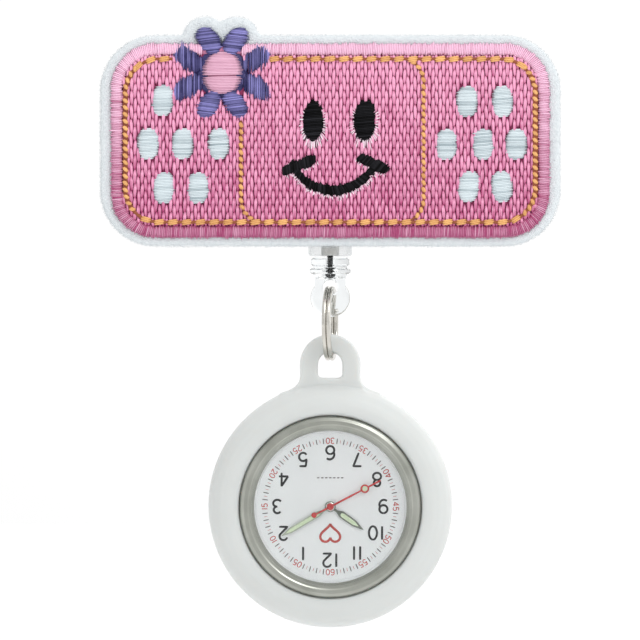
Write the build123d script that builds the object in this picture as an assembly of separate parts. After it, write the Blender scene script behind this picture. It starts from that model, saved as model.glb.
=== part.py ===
from build123d import *
from math import acos, cos, pi, radians, sin
import os

os.makedirs("parts", exist_ok=True)

# Row frame: X across, Y into the garment, Z up, millimetres.
# The origin is the middle of the clip's closed jaw mouth.

# Patch: its own heights are counted up from the felt's lower edge.
PATCH_FOOT = -1.7
PATCH_WIDTH, PATCH_HEIGHT, PATCH_CORNER = 80.6, 37.0, 8.1
LOBE_RADIUS, LOBE_SPOTS = 3.9, [(-22.0, 36.4), (-16.4, 36.4)]
FELT_BACK, FELT_THICK = -12.1, 1.8
STITCH_BASE = FELT_BACK - FELT_THICK
FIELD_THICK, BORDER_THICK, MOTIF_THICK, FLOWER_THICK = 0.6, 0.9, 0.35, 1.3
BORDER_WIDTH_OUT, BORDER_HEIGHT_OUT, BORDER_BAND = 76.6, 34.1, 2.0
BORDER_MIDDLE = PATCH_FOOT + 18.45
OUTLINE_WIDTH, OUTLINE_HEIGHT, OUTLINE_CORNER, OUTLINE_BAND = 71.6, 28.5, 5.3, 1.0
PAD_LEFT, PAD_RIGHT = -15.6, 16.3
DOT_SIZE = (3.7, 5.5)
DOT_SPOTS = [(-29.6, 25.5), (-32.1, 17.9), (-26.2, 17.9), (-19.7, 17.9), (-29.3, 10.2),
             (-23.3, 10.2), (23.9, 25.3), (30.1, 25.3), (20.3, 17.8), (26.7, 17.8),
             (32.5, 17.8), (24.2, 10.4), (30.0, 10.4)]
EYES = [(-3.1, 21.8, 4.1, 7.7), (5.9, 21.8, 4.4, 7.5)]
FLOWER_SPOT, PETAL_RING, PETAL_SIZE, FLOWER_CORE = (-19.3, 30.7), 5.9, (5.0, 4.2), 3.6

# Reel: a round translucent housing behind the patch, on a swivel rivet.
REEL_Z, REEL_RADIUS, REEL_WALL = 14.5, 16.0, 1.2
REEL_BACK, REEL_FRONT = -3.0, -11.5
REEL_MIDDLE = (REEL_BACK + REEL_FRONT) / 2
LIP_FOOT, LIP_WIDTH, LIP_DEPTH = -3.3, 7.7, 6.1
POST_RADIUS, RUN_GAP = 2.5, 0.06
FLANGE_RADIUS, DRUM_OUT, DRUM_IN = 11.5, 7.0, 6.0
FLANGE_BACK, FLANGE_FRONT, FLANGE_THICK = -5.2, -10.2, 0.8
CORD_RADIUS, WOUND_RADIUS = 0.5, 9.6

# Clip: sprung jaws on a pin, behind the reel.
CLIP_WIDTH, CLIP_SHEET, CLIP_FACE = 9.5, 0.8, -1.8
CLIP_TOP, CLIP_FOOT = 24.0, -1.0
PIN_Y, PIN_Z, PIN_RADIUS = 2.7, 18.0, 0.78
LEVER_WIDTH = 7.0

# Cord end, split ring and silicone jacket.
EYE_Z, EYE_RADIUS = -8.85, 1.3
RING_MAJOR, RING_WIRE, RING_Z, RING_YAW = 5.88, 0.72, -15.2, 7.0
HEAD_Z = -47.4
JACKET_RADIUS, JACKET_BACK, JACKET_FRONT = 21.5, -2.0, -12.5
TAB_RADIUS, TAB_THICK, TAB_CENTRE = 5.35, 3.0, -22.45
TAB_HOLE_WIDTH, TAB_HOLE_FOOT = 4.3, -24.8
SEAT_RADIUS, SEAT_FLOOR, BARREL_HOLE, JACKET_FLOOR = 16.0, -11.0, 14.45, -3.6

# Watch head.
BEZEL_RADIUS, BEZEL_FRONT, BEZEL_BACK = 15.9, -12.95, -11.03
CASE_RADIUS, CASE_BORE = 14.3, 13.4
CRYSTAL_RADIUS, CRYSTAL_BACK, CRYSTAL_FRONT = 13.85, -11.5, -12.65
DIAL_RADIUS, DIAL_BACK, DIAL_THICK = 13.3, -9.9, 0.4
STEM_Y = -7.9
HOUR_ANGLE, MINUTE_ANGLE, SECOND_ANGLE = -35.0, 211.0, 27.5

# Going train: positions across and up from the watch's centre.
THIRD_SPOT = (3.42 * cos(radians(150)), 3.42 * sin(radians(150)))
FIFTH_SPOT = (2.42 * cos(radians(30)), 2.42 * sin(radians(30)))
ROTOR_SPOT = (FIFTH_SPOT[0] + 2.22, FIFTH_SPOT[1])
MINUTE_WHEEL_SPOT = (0.0, -2.42)
BATTERY_SPOT, BATTERY_RADIUS = (0.0, -7.0), 3.4
SCREW_SPOTS = [(0.5, 5.6), (-5.0, -3.0), (3.9, -2.6)]


# Shape helpers.

def slab(sketch, back, thickness):
    """Extrude a front-view sketch from its back face toward the front."""
    return extrude(Plane.XZ.offset(-back) * sketch, thickness)


def disc(radius, back, front, x=0.0, z=0.0):
    return slab(Pos(x, z) * Circle(radius), back, back - front)


def tube(outer, inner, back, front, x=0.0, z=0.0):
    return slab(Pos(x, z) * (Circle(outer) - Circle(inner)), back, back - front)


def block(x0, x1, y0, y1, z0, z1):
    return Pos((x0 + x1) / 2, (y0 + y1) / 2, (z0 + z1) / 2) * Box(x1 - x0, y1 - y0, z1 - z0)


def rod_x(radius, x0, x1, y, z):
    return Pos((x0 + x1) / 2, y, z) * Rot(Y=90) * Cylinder(radius, x1 - x0)


def rod_between(radius, start, end):
    line = Line(start, end)
    return sweep(Plane(origin=line @ 0, z_dir=line % 0) * Circle(radius), path=line)


def turned(points, x=0.0, z=0.0):
    """Turn a (radius, Y) profile about the Y axis and move it across and up."""
    return Pos(x, 0, z) * revolve(make_face(Polyline(*points, close=True)), Axis.Y)


def patch_z(height):
    return PATCH_FOOT + height


def save(name, *solids):
    shape = solids[0] if len(solids) == 1 else Compound(children=list(solids))
    export_step(shape, os.path.join("parts", name + ".step"))


# Clip.

def jaw_lip(back, toward):
    """A toothed lip; toward is +1 when its teeth point to +Y."""
    pitch, half = 1.6, 4.0
    teeth, x = [], -half
    while x < half - 0.01:
        teeth += [(x, 0.35), (x + pitch / 2, -0.45)]
        x += pitch
    teeth.append((half, 0.35))
    shift = -0.08 if toward > 0 else 0.08
    edge = [(x, y + shift) for x, y in teeth]
    outline = edge + [(half, back), (-half, back)]
    return extrude(Plane.XY.offset(CLIP_FOOT) * make_face(Polyline(*outline, close=True)), 0.8)


def clip_base():
    height = CLIP_TOP - CLIP_FOOT
    sheet = slab(Pos(0, CLIP_FOOT + height / 2) * RectangleRounded(CLIP_WIDTH, height, 1.4),
                 CLIP_FACE, CLIP_SHEET)
    body = sheet + jaw_lip(CLIP_FACE - 0.4, 1)
    for side in (-1, 1):
        ear = block(side * 4.35 - 0.4, side * 4.35 + 0.4, CLIP_FACE - 0.2, 4.3, 15.6, 20.4)
        body += fillet(ear.edges().filter_by(Axis.X).group_by(Axis.Y)[-1], 1.2)
    body -= rod_x(PIN_RADIUS, -6, 6, PIN_Y, PIN_Z)
    return body - disc(1.2, 0, -5, 0, REEL_Z)


def clip_lever():
    sheet = [(2.2, CLIP_FOOT), (3.0, CLIP_FOOT), (5.0, 18.0), (7.8, 31.0), (7.0, 31.2),
             (4.2, 18.0)]
    blade = extrude(Plane.YZ.offset(-LEVER_WIDTH / 2) * make_face(Polyline(*sheet, close=True)),
                    LEVER_WIDTH)
    body = blade + jaw_lip(2.6, -1)
    for side in (-1, 1):
        cheek = rod_x(1.7, side * 3.1 - 0.4, side * 3.1 + 0.4, PIN_Y, PIN_Z)
        cheek += block(side * 3.1 - 0.4, side * 3.1 + 0.4, PIN_Y, 4.5, 16.4, 19.6)
        body += cheek
    body -= rod_x(PIN_RADIUS + RUN_GAP, -4, 4, PIN_Y, PIN_Z)
    for rib in range(5):
        body -= rod_x(0.25, -2.6, 2.6, 6.35 + 0.34 * rib, 24.3 + 1.4 * rib)
    return body


def clip_pin():
    return (rod_x(PIN_RADIUS, -5.2, 5.2, PIN_Y, PIN_Z)
            + rod_x(1.25, 4.75, 5.25, PIN_Y, PIN_Z) + rod_x(1.25, -5.25, -4.75, PIN_Y, PIN_Z))


def clip_spring():
    """Torsion coil round the pin with one leg on the base and one on the lever."""
    turns, pitch, radius, wire = 5.375, 0.62, 1.1, 0.25
    frame = Plane(origin=(-turns * pitch / 2, PIN_Y, PIN_Z), x_dir=(0, -0.85, -0.53),
                  z_dir=(1, 0, 0))
    coil = frame.location * Helix(pitch, turns * pitch, radius)
    start, end = coil @ 0, coil @ 1
    base_leg = Line((start.X, CLIP_FACE + wire + 0.05, 22.6), start)
    lever_leg = Line(end, (end.X, 5.2, 24.0))
    return Compound(children=[
        sweep(Plane(origin=path @ 0, z_dir=path % 0) * Circle(wire), path=path)
        for path in (base_leg, coil, lever_leg)])


def swivel_rivet():
    shank, head = 1.2, 2.2
    return turned([(0, -0.9), (1.3, -1.0), (head, -1.5), (head, CLIP_FACE), (shank, CLIP_FACE),
                   (shank, -4.26), (head, -4.26), (head, -4.75), (0, -4.75)], 0, REEL_Z)


def swivel_washer():
    return tube(3.6, 1.2, CLIP_FACE - CLIP_SHEET, REEL_BACK + 0.05, 0, REEL_Z)


# Reel.

def reel_housing():
    drum = disc(REEL_RADIUS, REEL_BACK, REEL_FRONT, 0, REEL_Z)
    drum = fillet(drum.edges(), 1.4)
    lip = block(-LIP_WIDTH / 2, LIP_WIDTH / 2, REEL_MIDDLE - LIP_DEPTH / 2,
                REEL_MIDDLE + LIP_DEPTH / 2, LIP_FOOT, 2.0)
    lip = fillet(lip.edges().filter_by(Axis.Z), 1.8)
    lip = fillet(lip.edges().group_by(Axis.Z)[0], 0.5)
    room = disc(REEL_RADIUS - REEL_WALL, REEL_BACK - REEL_WALL, REEL_FRONT + 1.0, 0, REEL_Z)
    throat = Pos(0, REEL_MIDDLE, LIP_FOOT + 2.5) * Cylinder(1.6, 6.0)
    return drum + lip - room - throat


def half_space(front):
    depth = block(-60, 60, REEL_MIDDLE, 20, -60, 60)
    return block(-60, 60, -40, REEL_MIDDLE, -60, 60) if front else depth


def reel_back_shell():
    return (reel_housing() & half_space(False)) - disc(1.2 + RUN_GAP, 0, -6, 0, REEL_Z)


def reel_front_shell():
    post = disc(POST_RADIUS, FLANGE_BACK + 0.3, REEL_FRONT + 0.6, 0, REEL_Z)
    return (reel_housing() & half_space(True)) + post


def outlet_bush():
    low, high = LIP_FOOT + 0.05, -0.5
    body = Pos(0, REEL_MIDDLE, (low + high) / 2) * (
        Cylinder(1.6, high - low) - Cylinder(CORD_RADIUS + 0.25, high - low))
    return chamfer(body.edges().group_by(Axis.Z)[0].sort_by(SortBy.RADIUS)[0], 0.3)


def spool():
    body = tube(FLANGE_RADIUS, POST_RADIUS + RUN_GAP, FLANGE_BACK, FLANGE_BACK - FLANGE_THICK,
                0, REEL_Z)
    body += tube(DRUM_OUT, DRUM_IN, FLANGE_BACK - FLANGE_THICK, FLANGE_FRONT, 0, REEL_Z)
    body += tube(FLANGE_RADIUS, DRUM_IN, FLANGE_FRONT + FLANGE_THICK, FLANGE_FRONT, 0, REEL_Z)
    for k in range(6):
        angle = radians(60 * k)
        x, z = 10.0 * cos(angle) * 0.93, 10.0 * sin(angle) * 0.93
        body -= disc(0.8, 0, -20, x, REEL_Z + z)
    return body


def wound_cord():
    inner_face, outer_face = FLANGE_BACK - FLANGE_THICK, FLANGE_FRONT + FLANGE_THICK
    wire = (inner_face - outer_face) / 6
    body = tube(WOUND_RADIUS - wire, DRUM_OUT, inner_face, outer_face, 0, REEL_Z)
    for k in range(3):
        y = inner_face - wire * (2 * k + 1)
        body += Pos(0, y, REEL_Z) * Rot(X=90) * Torus(WOUND_RADIUS - wire, wire)
    return body


def mainspring():
    """Flat spiral strip between the post and the drum."""
    turns, steps, first, last, strip = 6, 30, 2.62, 5.85, 0.12
    inner, outer = [], []
    for k in range(turns * steps + 1):
        angle = 2 * pi * k / steps
        r = first + (last - first - strip) * k / (turns * steps)
        inner.append((r * cos(angle), REEL_Z + r * sin(angle)))
        outer.append(((r + strip) * cos(angle), REEL_Z + (r + strip) * sin(angle)))
    return slab(make_face(Polyline(*(inner + outer[::-1]), close=True)), -6.2, 3.0)


def cord_lead():
    """Cord from the wound layer to the outlet, inside the reel."""
    reach = WOUND_RADIUS + CORD_RADIUS + 0.1
    drop = REEL_Z - 0.6
    spread = acos(reach / drop)
    touch = (reach * sin(spread), REEL_MIDDLE, REEL_Z - reach * cos(spread))
    path = FilletPolyline((0, REEL_MIDDLE, LIP_FOOT), (0, REEL_MIDDLE, 0.6), touch, radius=2.0)
    return sweep(Plane(origin=path @ 0, z_dir=path % 0) * Circle(CORD_RADIUS), path=path)


def cord_stub():
    length = 2.1
    return Pos(0, REEL_MIDDLE, LIP_FOOT - length / 2) * Cylinder(CORD_RADIUS, length)


# Patch.

def adhesive_pad():
    return disc(14.0, REEL_FRONT, FELT_BACK, 0, REEL_Z)


def oval(x, height, width, tall):
    return Pos(x, patch_z(height)) * Ellipse(width / 2, tall / 2)


def petal_sketch(grow=0.0):
    total = None
    for k in range(8):
        angle = 22.5 + 45 * k
        x = FLOWER_SPOT[0] + PETAL_RING * cos(radians(angle))
        z = patch_z(FLOWER_SPOT[1]) + PETAL_RING * sin(radians(angle))
        leaf = Pos(x, z) * Rot(Z=angle) * Ellipse(PETAL_SIZE[0] / 2 + grow,
                                                  PETAL_SIZE[1] / 2 + grow)
        total = leaf if total is None else total + leaf
    return total


def flower_shadow():
    x, height = FLOWER_SPOT
    return petal_sketch() + Pos(x, patch_z(height)) * Circle(FLOWER_CORE + 0.3)


def felt_patch():
    middle = patch_z(PATCH_HEIGHT / 2)
    outline = Pos(0, middle) * RectangleRounded(PATCH_WIDTH, PATCH_HEIGHT, PATCH_CORNER)
    for x, height in LOBE_SPOTS:
        outline += Pos(x, patch_z(height)) * Circle(LOBE_RADIUS)
    return slab(outline, FELT_BACK, FELT_THICK)


def border_outline(inset):
    corner = 6.1 - inset
    return Pos(0, BORDER_MIDDLE) * RectangleRounded(BORDER_WIDTH_OUT - 2 * inset,
                                                    BORDER_HEIGHT_OUT - 2 * inset, corner)


def embroidery_field():
    return slab(border_outline(BORDER_BAND) - flower_shadow(), STITCH_BASE, FIELD_THICK)


def embroidery_border():
    sketch = border_outline(0) - border_outline(BORDER_BAND) - flower_shadow()
    return slab(sketch, STITCH_BASE, BORDER_THICK)


def motif(sketch):
    return slab(sketch - flower_shadow(), STITCH_BASE - FIELD_THICK, MOTIF_THICK)


def outline_stitching():
    """Two rounded frames: round the whole field and round the centre pad."""
    total = None
    pad_width, pad_middle = PAD_RIGHT - PAD_LEFT, (PAD_LEFT + PAD_RIGHT) / 2
    frames = [(0, OUTLINE_WIDTH, OUTLINE_CORNER), (pad_middle, pad_width, 3.9)]
    for x, width, corner in frames:
        big = RectangleRounded(width + OUTLINE_BAND, OUTLINE_HEIGHT + OUTLINE_BAND,
                               corner + OUTLINE_BAND / 2)
        small = RectangleRounded(width - OUTLINE_BAND, OUTLINE_HEIGHT - OUTLINE_BAND,
                                 corner - OUTLINE_BAND / 2)
        loop = Pos(x, BORDER_MIDDLE) * (big - small)
        total = loop if total is None else total + loop
    return motif(total)


def face_eyes():
    return motif(oval(*EYES[0]) + oval(*EYES[1]))


def face_mouth():
    smile = ThreePointArc((-6.7, patch_z(13.6)), (0.5, patch_z(9.7)), (7.8, patch_z(13.7)))
    stroke = trace(smile, 2.1)
    for start, end in (((-8.6, 13.0), (-3.2, 15.0)), ((4.8, 15.4), (9.7, 13.1))):
        line = Line((start[0], patch_z(start[1])), (end[0], patch_z(end[1])))
        stroke += trace(line, 1.7)
    return motif(stroke)


def white_dots():
    total = None
    for x, height in DOT_SPOTS:
        spot = oval(x, height, *DOT_SIZE)
        total = spot if total is None else total + spot
    return motif(total)


def flower_petals():
    x, height = FLOWER_SPOT
    sketch = petal_sketch() - Pos(x, patch_z(height)) * Circle(FLOWER_CORE + 0.3)
    return slab(sketch, STITCH_BASE, FLOWER_THICK)


def flower_centre():
    x, height = FLOWER_SPOT
    return disc(FLOWER_CORE + 0.3, STITCH_BASE, STITCH_BASE - FLOWER_THICK - 0.2, x, patch_z(height))


# Cord end, ring and jacket.

def cord_knot():
    return Pos(0, REEL_MIDDLE, -6.3) * Sphere(1.05) - block(-2, 2, -10, -4, -5.4, -4)


def cord_end_fitting():
    profile = [(0, -3.6), (3.1, -3.6), (3.4, -3.9), (3.4, -4.8), (3.2, -5.0), (3.0, -5.05),
               (3.0, -5.35), (3.3, -5.45), (3.6, -5.7), (3.6, -6.2), (3.3, -6.4), (3.0, -6.5),
               (2.7, -7.3), (0, -7.3)]
    collar = Pos(0, REEL_MIDDLE, 0) * revolve(Plane.XZ * make_face(Polyline(*profile, close=True)),
                                              Axis.Z)
    outline = Pos(0, -10.7) * Ellipse(3.5, 3.4) + Pos(0, -8.4) * RectangleRounded(5.4, 3.6, 1.0)
    bulb = slab(outline, REEL_MIDDLE + 1.3, 2.6)
    bulb = fillet(bulb.edges().filter_by(GeomType.ELLIPSE), 0.7)
    body = collar + bulb
    body -= slab(Pos(0, EYE_Z) * Circle(EYE_RADIUS), 0, 20)
    body -= Pos(0, REEL_MIDDLE, -6.3) * Sphere(1.05 + RUN_GAP)
    body -= Pos(0, REEL_MIDDLE, -4.6) * Cylinder(CORD_RADIUS + RUN_GAP, 2.4)
    return soften_eye(body)


def soften_eye(body):
    """Round both mouths of the eye where the ring's wire bends through."""
    mouths = [edge for edge in body.edges().filter_by(GeomType.CIRCLE)
              if abs(edge.radius - EYE_RADIUS) < 0.01 and abs(edge.arc_center.Z - EYE_Z) < 0.01]
    return fillet(mouths, 0.4)


def split_ring():
    return (Pos(0, REEL_MIDDLE, RING_Z) * Rot(Z=-RING_YAW) * Rot(Y=90)
            * Torus(RING_MAJOR, RING_WIRE))


def jacket_profile():
    r, back, front = JACKET_RADIUS, JACKET_BACK, JACKET_FRONT
    return [(0, back), (r - 3.2, back), (r - 1.6, back - 0.4), (r - 0.5, back - 1.5),
            (r, back - 3.4), (r, front + 4.2), (r - 0.35, front + 2.5), (r - 1.2, front + 1.2),
            (r - 2.5, front + 0.35), (r - 4.0, front), (SEAT_RADIUS + 0.3, front),
            (SEAT_RADIUS, front + 0.3), (SEAT_RADIUS, SEAT_FLOOR), (BARREL_HOLE, SEAT_FLOOR),
            (BARREL_HOLE, JACKET_FLOOR), (0, JACKET_FLOOR)]


def silicone_jacket():
    body = turned(jacket_profile(), 0, HEAD_Z)
    neck = [(-TAB_RADIUS, TAB_CENTRE), (TAB_RADIUS, TAB_CENTRE), (TAB_RADIUS, -26.4),
            (TAB_RADIUS + 3.4, -29.2), (-TAB_RADIUS - 3.4, -29.2), (-TAB_RADIUS, -26.4)]
    outline = Pos(0, TAB_CENTRE) * Circle(TAB_RADIUS) + make_face(Polyline(*neck, close=True))
    tab = slab(outline, REEL_MIDDLE + TAB_THICK / 2, TAB_THICK)
    arch = Pos(0, TAB_CENTRE) * Circle(TAB_HOLE_WIDTH / 2)
    arch += Pos(0, (TAB_CENTRE + TAB_HOLE_FOOT) / 2) * Rectangle(TAB_HOLE_WIDTH,
                                                                TAB_CENTRE - TAB_HOLE_FOOT)
    tab -= slab(arch, 0, 20)
    faces = tab.faces().filter_by(Axis.Y)
    hole_edges = [edge for face in faces for wire in face.inner_wires() for edge in wire.edges()]
    tab = fillet(hole_edges, 1.2)
    crown_room = block(-SEAT_RADIUS, -10, SEAT_FLOOR - 1, -6.2, HEAD_Z - 1.9, HEAD_Z + 1.9)
    pull_room = block(-17.0, -15, -9.8, -6.2, HEAD_Z - 1.9, HEAD_Z + 1.9)
    seat_hole = disc(SEAT_RADIUS, SEAT_FLOOR, -30, 0, HEAD_Z)
    barrel_hole = disc(BARREL_HOLE, JACKET_FLOOR, -30, 0, HEAD_Z)
    return body + (tab - seat_hole - barrel_hole) - crown_room - pull_room


# Watch head: case parts.

def case_middle():
    body = tube(CASE_RADIUS, CASE_BORE, -4.25, -11.0, 0, HEAD_Z)
    body = chamfer(body.edges().filter_by(GeomType.CIRCLE).sort_by(Axis.Y)[-1], 0.2)
    return body - rod_x(0.9, -15, -12, STEM_Y, HEAD_Z)


def crown_tube():
    return rod_x(0.9, -14.3, -13.4, STEM_Y, HEAD_Z) - rod_x(0.42, -15, -12, STEM_Y, HEAD_Z)


def bezel():
    r = BEZEL_RADIUS
    return turned([(CASE_BORE, -11.0), (r, -11.0), (r, -12.35), (r - 0.25, -12.75),
                   (r - 0.75, -12.95), (14.55, -12.95), (14.3, -12.8), (14.3, -12.65),
                   (13.87, -12.6), (13.87, -11.5), (CASE_BORE, -11.5)], 0, HEAD_Z)


def crystal():
    body = disc(CRYSTAL_RADIUS, CRYSTAL_BACK - 0.02, CRYSTAL_FRONT, 0, HEAD_Z)
    return chamfer(body.edges().filter_by(GeomType.CIRCLE).sort_by(Axis.Y)[0], 0.15)


def rehaut_ring():
    return turned([(13.05, -10.3), (13.38, -10.3), (13.38, -11.5), (13.25, -11.5)], 0, HEAD_Z)


def case_back():
    plate = disc(CASE_RADIUS, -3.65, -4.25, 0, HEAD_Z)
    plate = chamfer(plate.edges().filter_by(GeomType.CIRCLE).sort_by(Axis.Y)[-1], 0.25)
    return plate + tube(CASE_BORE - 0.02, 12.8, -4.25, -4.75, 0, HEAD_Z)


def back_gasket():
    return tube(CASE_BORE - 0.02, 12.8, -4.75, -5.05, 0, HEAD_Z)


def movement_holder():
    body = tube(CASE_BORE - 0.05, 11.5, -5.1, DIAL_BACK, 0, HEAD_Z)
    for k in range(4):
        angle = radians(45 + 90 * k)
        body -= disc(0.7, 0, -6.5, 12.4 * cos(angle), HEAD_Z + 12.4 * sin(angle))
    return body - rod_x(0.6, -14, -11, STEM_Y, HEAD_Z)


def dial():
    return tube(DIAL_RADIUS, 0.85, DIAL_BACK, DIAL_BACK - DIAL_THICK, 0, HEAD_Z)


# Watch head: movement.

def at_head(spot):
    return spot[0], HEAD_Z + spot[1]


def gear(teeth, pitch_radius, back, front, spot=(0, 0), phase=0.0, bore=0.0):
    """A thin toothed wheel whose first tooth points along phase."""
    module = 2 * pitch_radius / teeth
    root, tip, step = pitch_radius - 1.15 * module, pitch_radius + 0.8 * module, 360 / teeth
    points = []
    for k in range(teeth):
        centre = phase + k * step
        for radius, share in ((root, -0.27), (tip, -0.1), (tip, 0.1), (root, 0.27)):
            angle = radians(centre + share * step)
            points.append((radius * cos(angle), radius * sin(angle)))
    x, z = at_head(spot)
    outline = Pos(x, z) * make_face(Polyline(*points, close=True))
    if bore:
        outline -= Pos(x, z) * Circle(bore)
    return slab(outline, back, back - front)


def arbor(radius, back, front, spot=(0, 0)):
    return disc(radius, back, front, *at_head(spot))


def main_plate():
    body = disc(11.4, -8.0, -9.0, 0, HEAD_Z)
    body -= disc(0.48, 0, -20, 0, HEAD_Z)
    for spot in (THIRD_SPOT, FIFTH_SPOT, ROTOR_SPOT, MINUTE_WHEEL_SPOT):
        body -= disc(0.16, 0, -20, *at_head(spot))
    for spot in SCREW_SPOTS:
        body -= disc(0.35, 0, -20, *at_head(spot))
    return body - block(-12, -5.4, -8.75, -7, HEAD_Z - 0.85, HEAD_Z + 0.85)


def train_bridge():
    body = disc(6.9, -6.1, -6.5, 0, HEAD_Z + 1.2)
    body -= disc(BATTERY_RADIUS + 0.25, 0, -20, *at_head(BATTERY_SPOT))
    for spot in SCREW_SPOTS:
        body += disc(0.8, -6.1, -8.0, *at_head(spot))
        body -= disc(0.35, 0, -20, *at_head(spot))
    for spot in ((0, 0), THIRD_SPOT, FIFTH_SPOT, ROTOR_SPOT):
        body -= disc(0.16, 0, -20, *at_head(spot))
    return body


def movement_screws():
    return [disc(0.35, -6.1, -8.9, *at_head(spot)) + disc(0.7, -5.7, -6.1, *at_head(spot))
            - block(spot[0] - 0.8, spot[0] + 0.8, -5.9, -5.6, HEAD_Z + spot[1] - 0.1,
                    HEAD_Z + spot[1] + 0.1) for spot in SCREW_SPOTS]


def stator():
    outline = [(3.45, 0), (7.6, -4.9), (9.0, -4.9), (9.0, -3.9), (5.7, 0.2), (5.7, 2.2),
               (9.0, 5.9), (9.0, 6.9), (7.6, 6.9), (3.45, 2.4)]
    sketch = Pos(0, HEAD_Z) * make_face(Polyline(*outline, close=True))
    sketch -= Pos(*at_head(ROTOR_SPOT)) * Circle(0.85)
    return slab(sketch, -7.5, 0.4) + block(8.0, 8.6, -7.5, -7.1, HEAD_Z - 4.9, HEAD_Z + 6.9)


def coil():
    body = Pos(8.3, -7.3, HEAD_Z + 1.1) * Cylinder(0.64, 6.2)
    return body - block(7.99, 8.61, -7.51, -7.09, HEAD_Z - 5, HEAD_Z + 7)


def battery():
    body = disc(BATTERY_RADIUS, -5.3, -7.5, *at_head(BATTERY_SPOT))
    body += disc(BATTERY_RADIUS - 0.7, -7.5, -7.9, *at_head(BATTERY_SPOT))
    return fillet(body.edges().filter_by(GeomType.CIRCLE).sort_by(Axis.Y)[-1], 0.3)


def battery_clamp():
    z = HEAD_Z + BATTERY_SPOT[1]
    body = block(-4.6, 4.6, -5.3, -5.15, z - 0.8, z + 0.8)
    for side in (-1, 1):
        body += block(side * 4.3 - 0.3, side * 4.3 + 0.3, -8.0, -5.3, z - 0.8, z + 0.8)
    return body


def circuit_board():
    """Board with its driver chip."""
    outline = [(-6.9, -6.2), (-6.9, 6.2), (-8.6, 6.2), (-10.3, 3.0), (-10.3, -3.0), (-8.6, -6.2)]
    board = slab(Pos(0, HEAD_Z) * make_face(Polyline(*outline, close=True)), -6.9, 0.2)
    return board + block(-9.3, -7.7, -6.95, -6.4, HEAD_Z - 3.8, HEAD_Z - 2.2)


def quartz_can():
    return Pos(-8.5, -6.14, HEAD_Z + 2.6) * Cylinder(0.75, 4.6)


def rotor():
    return (arbor(0.1, -6.2, -8.9, ROTOR_SPOT) + arbor(0.7, -7.2, -7.85, ROTOR_SPOT)
            + gear(8, 0.317, -6.62, -6.85, ROTOR_SPOT, 202.5))


def fifth_wheel():
    return (arbor(0.1, -6.2, -8.9, FIFTH_SPOT) + gear(48, 1.9, -6.67, -6.79, FIFTH_SPOT)
            + gear(8, 0.4, -6.87, -7.12, FIFTH_SPOT, 232.5))


def fourth_wheel():
    return (arbor(0.1, -6.2, -7.6) + arbor(0.12, -6.9, -11.1)
            + gear(40, 2.0, -6.92, -7.06, phase=30) + gear(8, 0.4, -7.2, -7.5, phase=172.5))


def third_wheel():
    return (arbor(0.1, -6.2, -8.9, THIRD_SPOT) + gear(60, 3.0, -7.27, -7.41, THIRD_SPOT, 330)
            + gear(8, 0.378, -7.7, -7.97, THIRD_SPOT, 352.5))


def centre_wheel():
    body = gear(64, 3.022, -7.76, -7.9, phase=150) + arbor(0.42, -7.7, -10.8)
    body += gear(12, 0.6, -9.1, -9.36, phase=-75)
    return body - arbor(0.18, 0, -20)


def minute_wheel():
    return (arbor(0.1, -8.4, -9.5, MINUTE_WHEEL_SPOT)
            + gear(36, 1.8, -9.16, -9.3, MINUTE_WHEEL_SPOT, 90)
            + gear(10, 0.48, -9.45, -9.8, MINUTE_WHEEL_SPOT, 108))


def hour_wheel():
    body = gear(40, 1.92, -9.56, -9.7, phase=-90) + arbor(0.75, -9.42, -10.45)
    return body - arbor(0.48, 0, -20)


def hand_blade(reach, half_width, neck_end, swell, shoulder, angle):
    points = [(0, 0.22), (neck_end, 0.2), (swell, half_width), (shoulder, half_width * 0.92),
              (reach, 0.04)]
    outline = points + [(x, -y) for x, y in reversed(points)]
    return Pos(0, HEAD_Z) * Rot(Z=angle) * make_face(Polyline(*outline, close=True))


def hour_hand():
    blade = hand_blade(7.1, 0.6, 1.5, 2.4, 5.2, HOUR_ANGLE) + Pos(0, HEAD_Z) * Circle(0.95)
    return slab(blade - Pos(0, HEAD_Z) * Circle(0.48), -10.45, 0.15)


def hour_hand_lume():
    blade = hand_blade(6.0, 0.38, 2.3, 2.7, 5.1, HOUR_ANGLE)
    keep = Pos(0, HEAD_Z) * Rot(Z=HOUR_ANGLE) * Pos(5, 0) * Rectangle(5.4, 2)
    return slab(blade & keep, -10.60, 0.06)


def minute_hand():
    blade = hand_blade(10.0, 0.5, 1.5, 2.4, 8.2, MINUTE_ANGLE) + Pos(0, HEAD_Z) * Circle(0.85)
    return slab(blade - Pos(0, HEAD_Z) * Circle(0.18), -10.8, 0.15)


def minute_hand_lume():
    blade = hand_blade(9.0, 0.3, 2.3, 2.7, 8.1, MINUTE_ANGLE)
    keep = Pos(0, HEAD_Z) * Rot(Z=MINUTE_ANGLE) * Pos(6, 0) * Rectangle(7.4, 2)
    return slab(blade & keep, -10.95, 0.06)


def second_hand():
    turn = Pos(0, HEAD_Z) * Rot(Z=SECOND_ANGLE)
    needle = turn * make_face(Polyline((-3.2, 0.13), (10.0, 0.06), (10.0, -0.06),
                                       (-3.2, -0.13), close=True))
    needle += turn * Pos(6.85, 0) * Circle(0.74) + turn * Pos(-3.2, 0) * Circle(0.43)
    needle -= turn * Pos(6.85, 0) * Circle(0.48)
    needle += turn * Circle(0.6)
    return slab(needle, -11.1, 0.1) + disc(0.45, -11.2, -11.32, 0, HEAD_Z)


def crown():
    body = rod_x(1.5, -15.85, -14.4, STEM_Y, HEAD_Z)
    for k in range(24):
        angle = radians(15 * k)
        body -= rod_x(0.12, -15.7, -14.3, STEM_Y + 1.52 * cos(angle), HEAD_Z + 1.52 * sin(angle))
    return body - rod_x(0.95, -14.9, -14.3, STEM_Y, HEAD_Z)


def winding_stem():
    return rod_x(0.36, -14.9, -6.4, STEM_Y, HEAD_Z)


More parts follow.
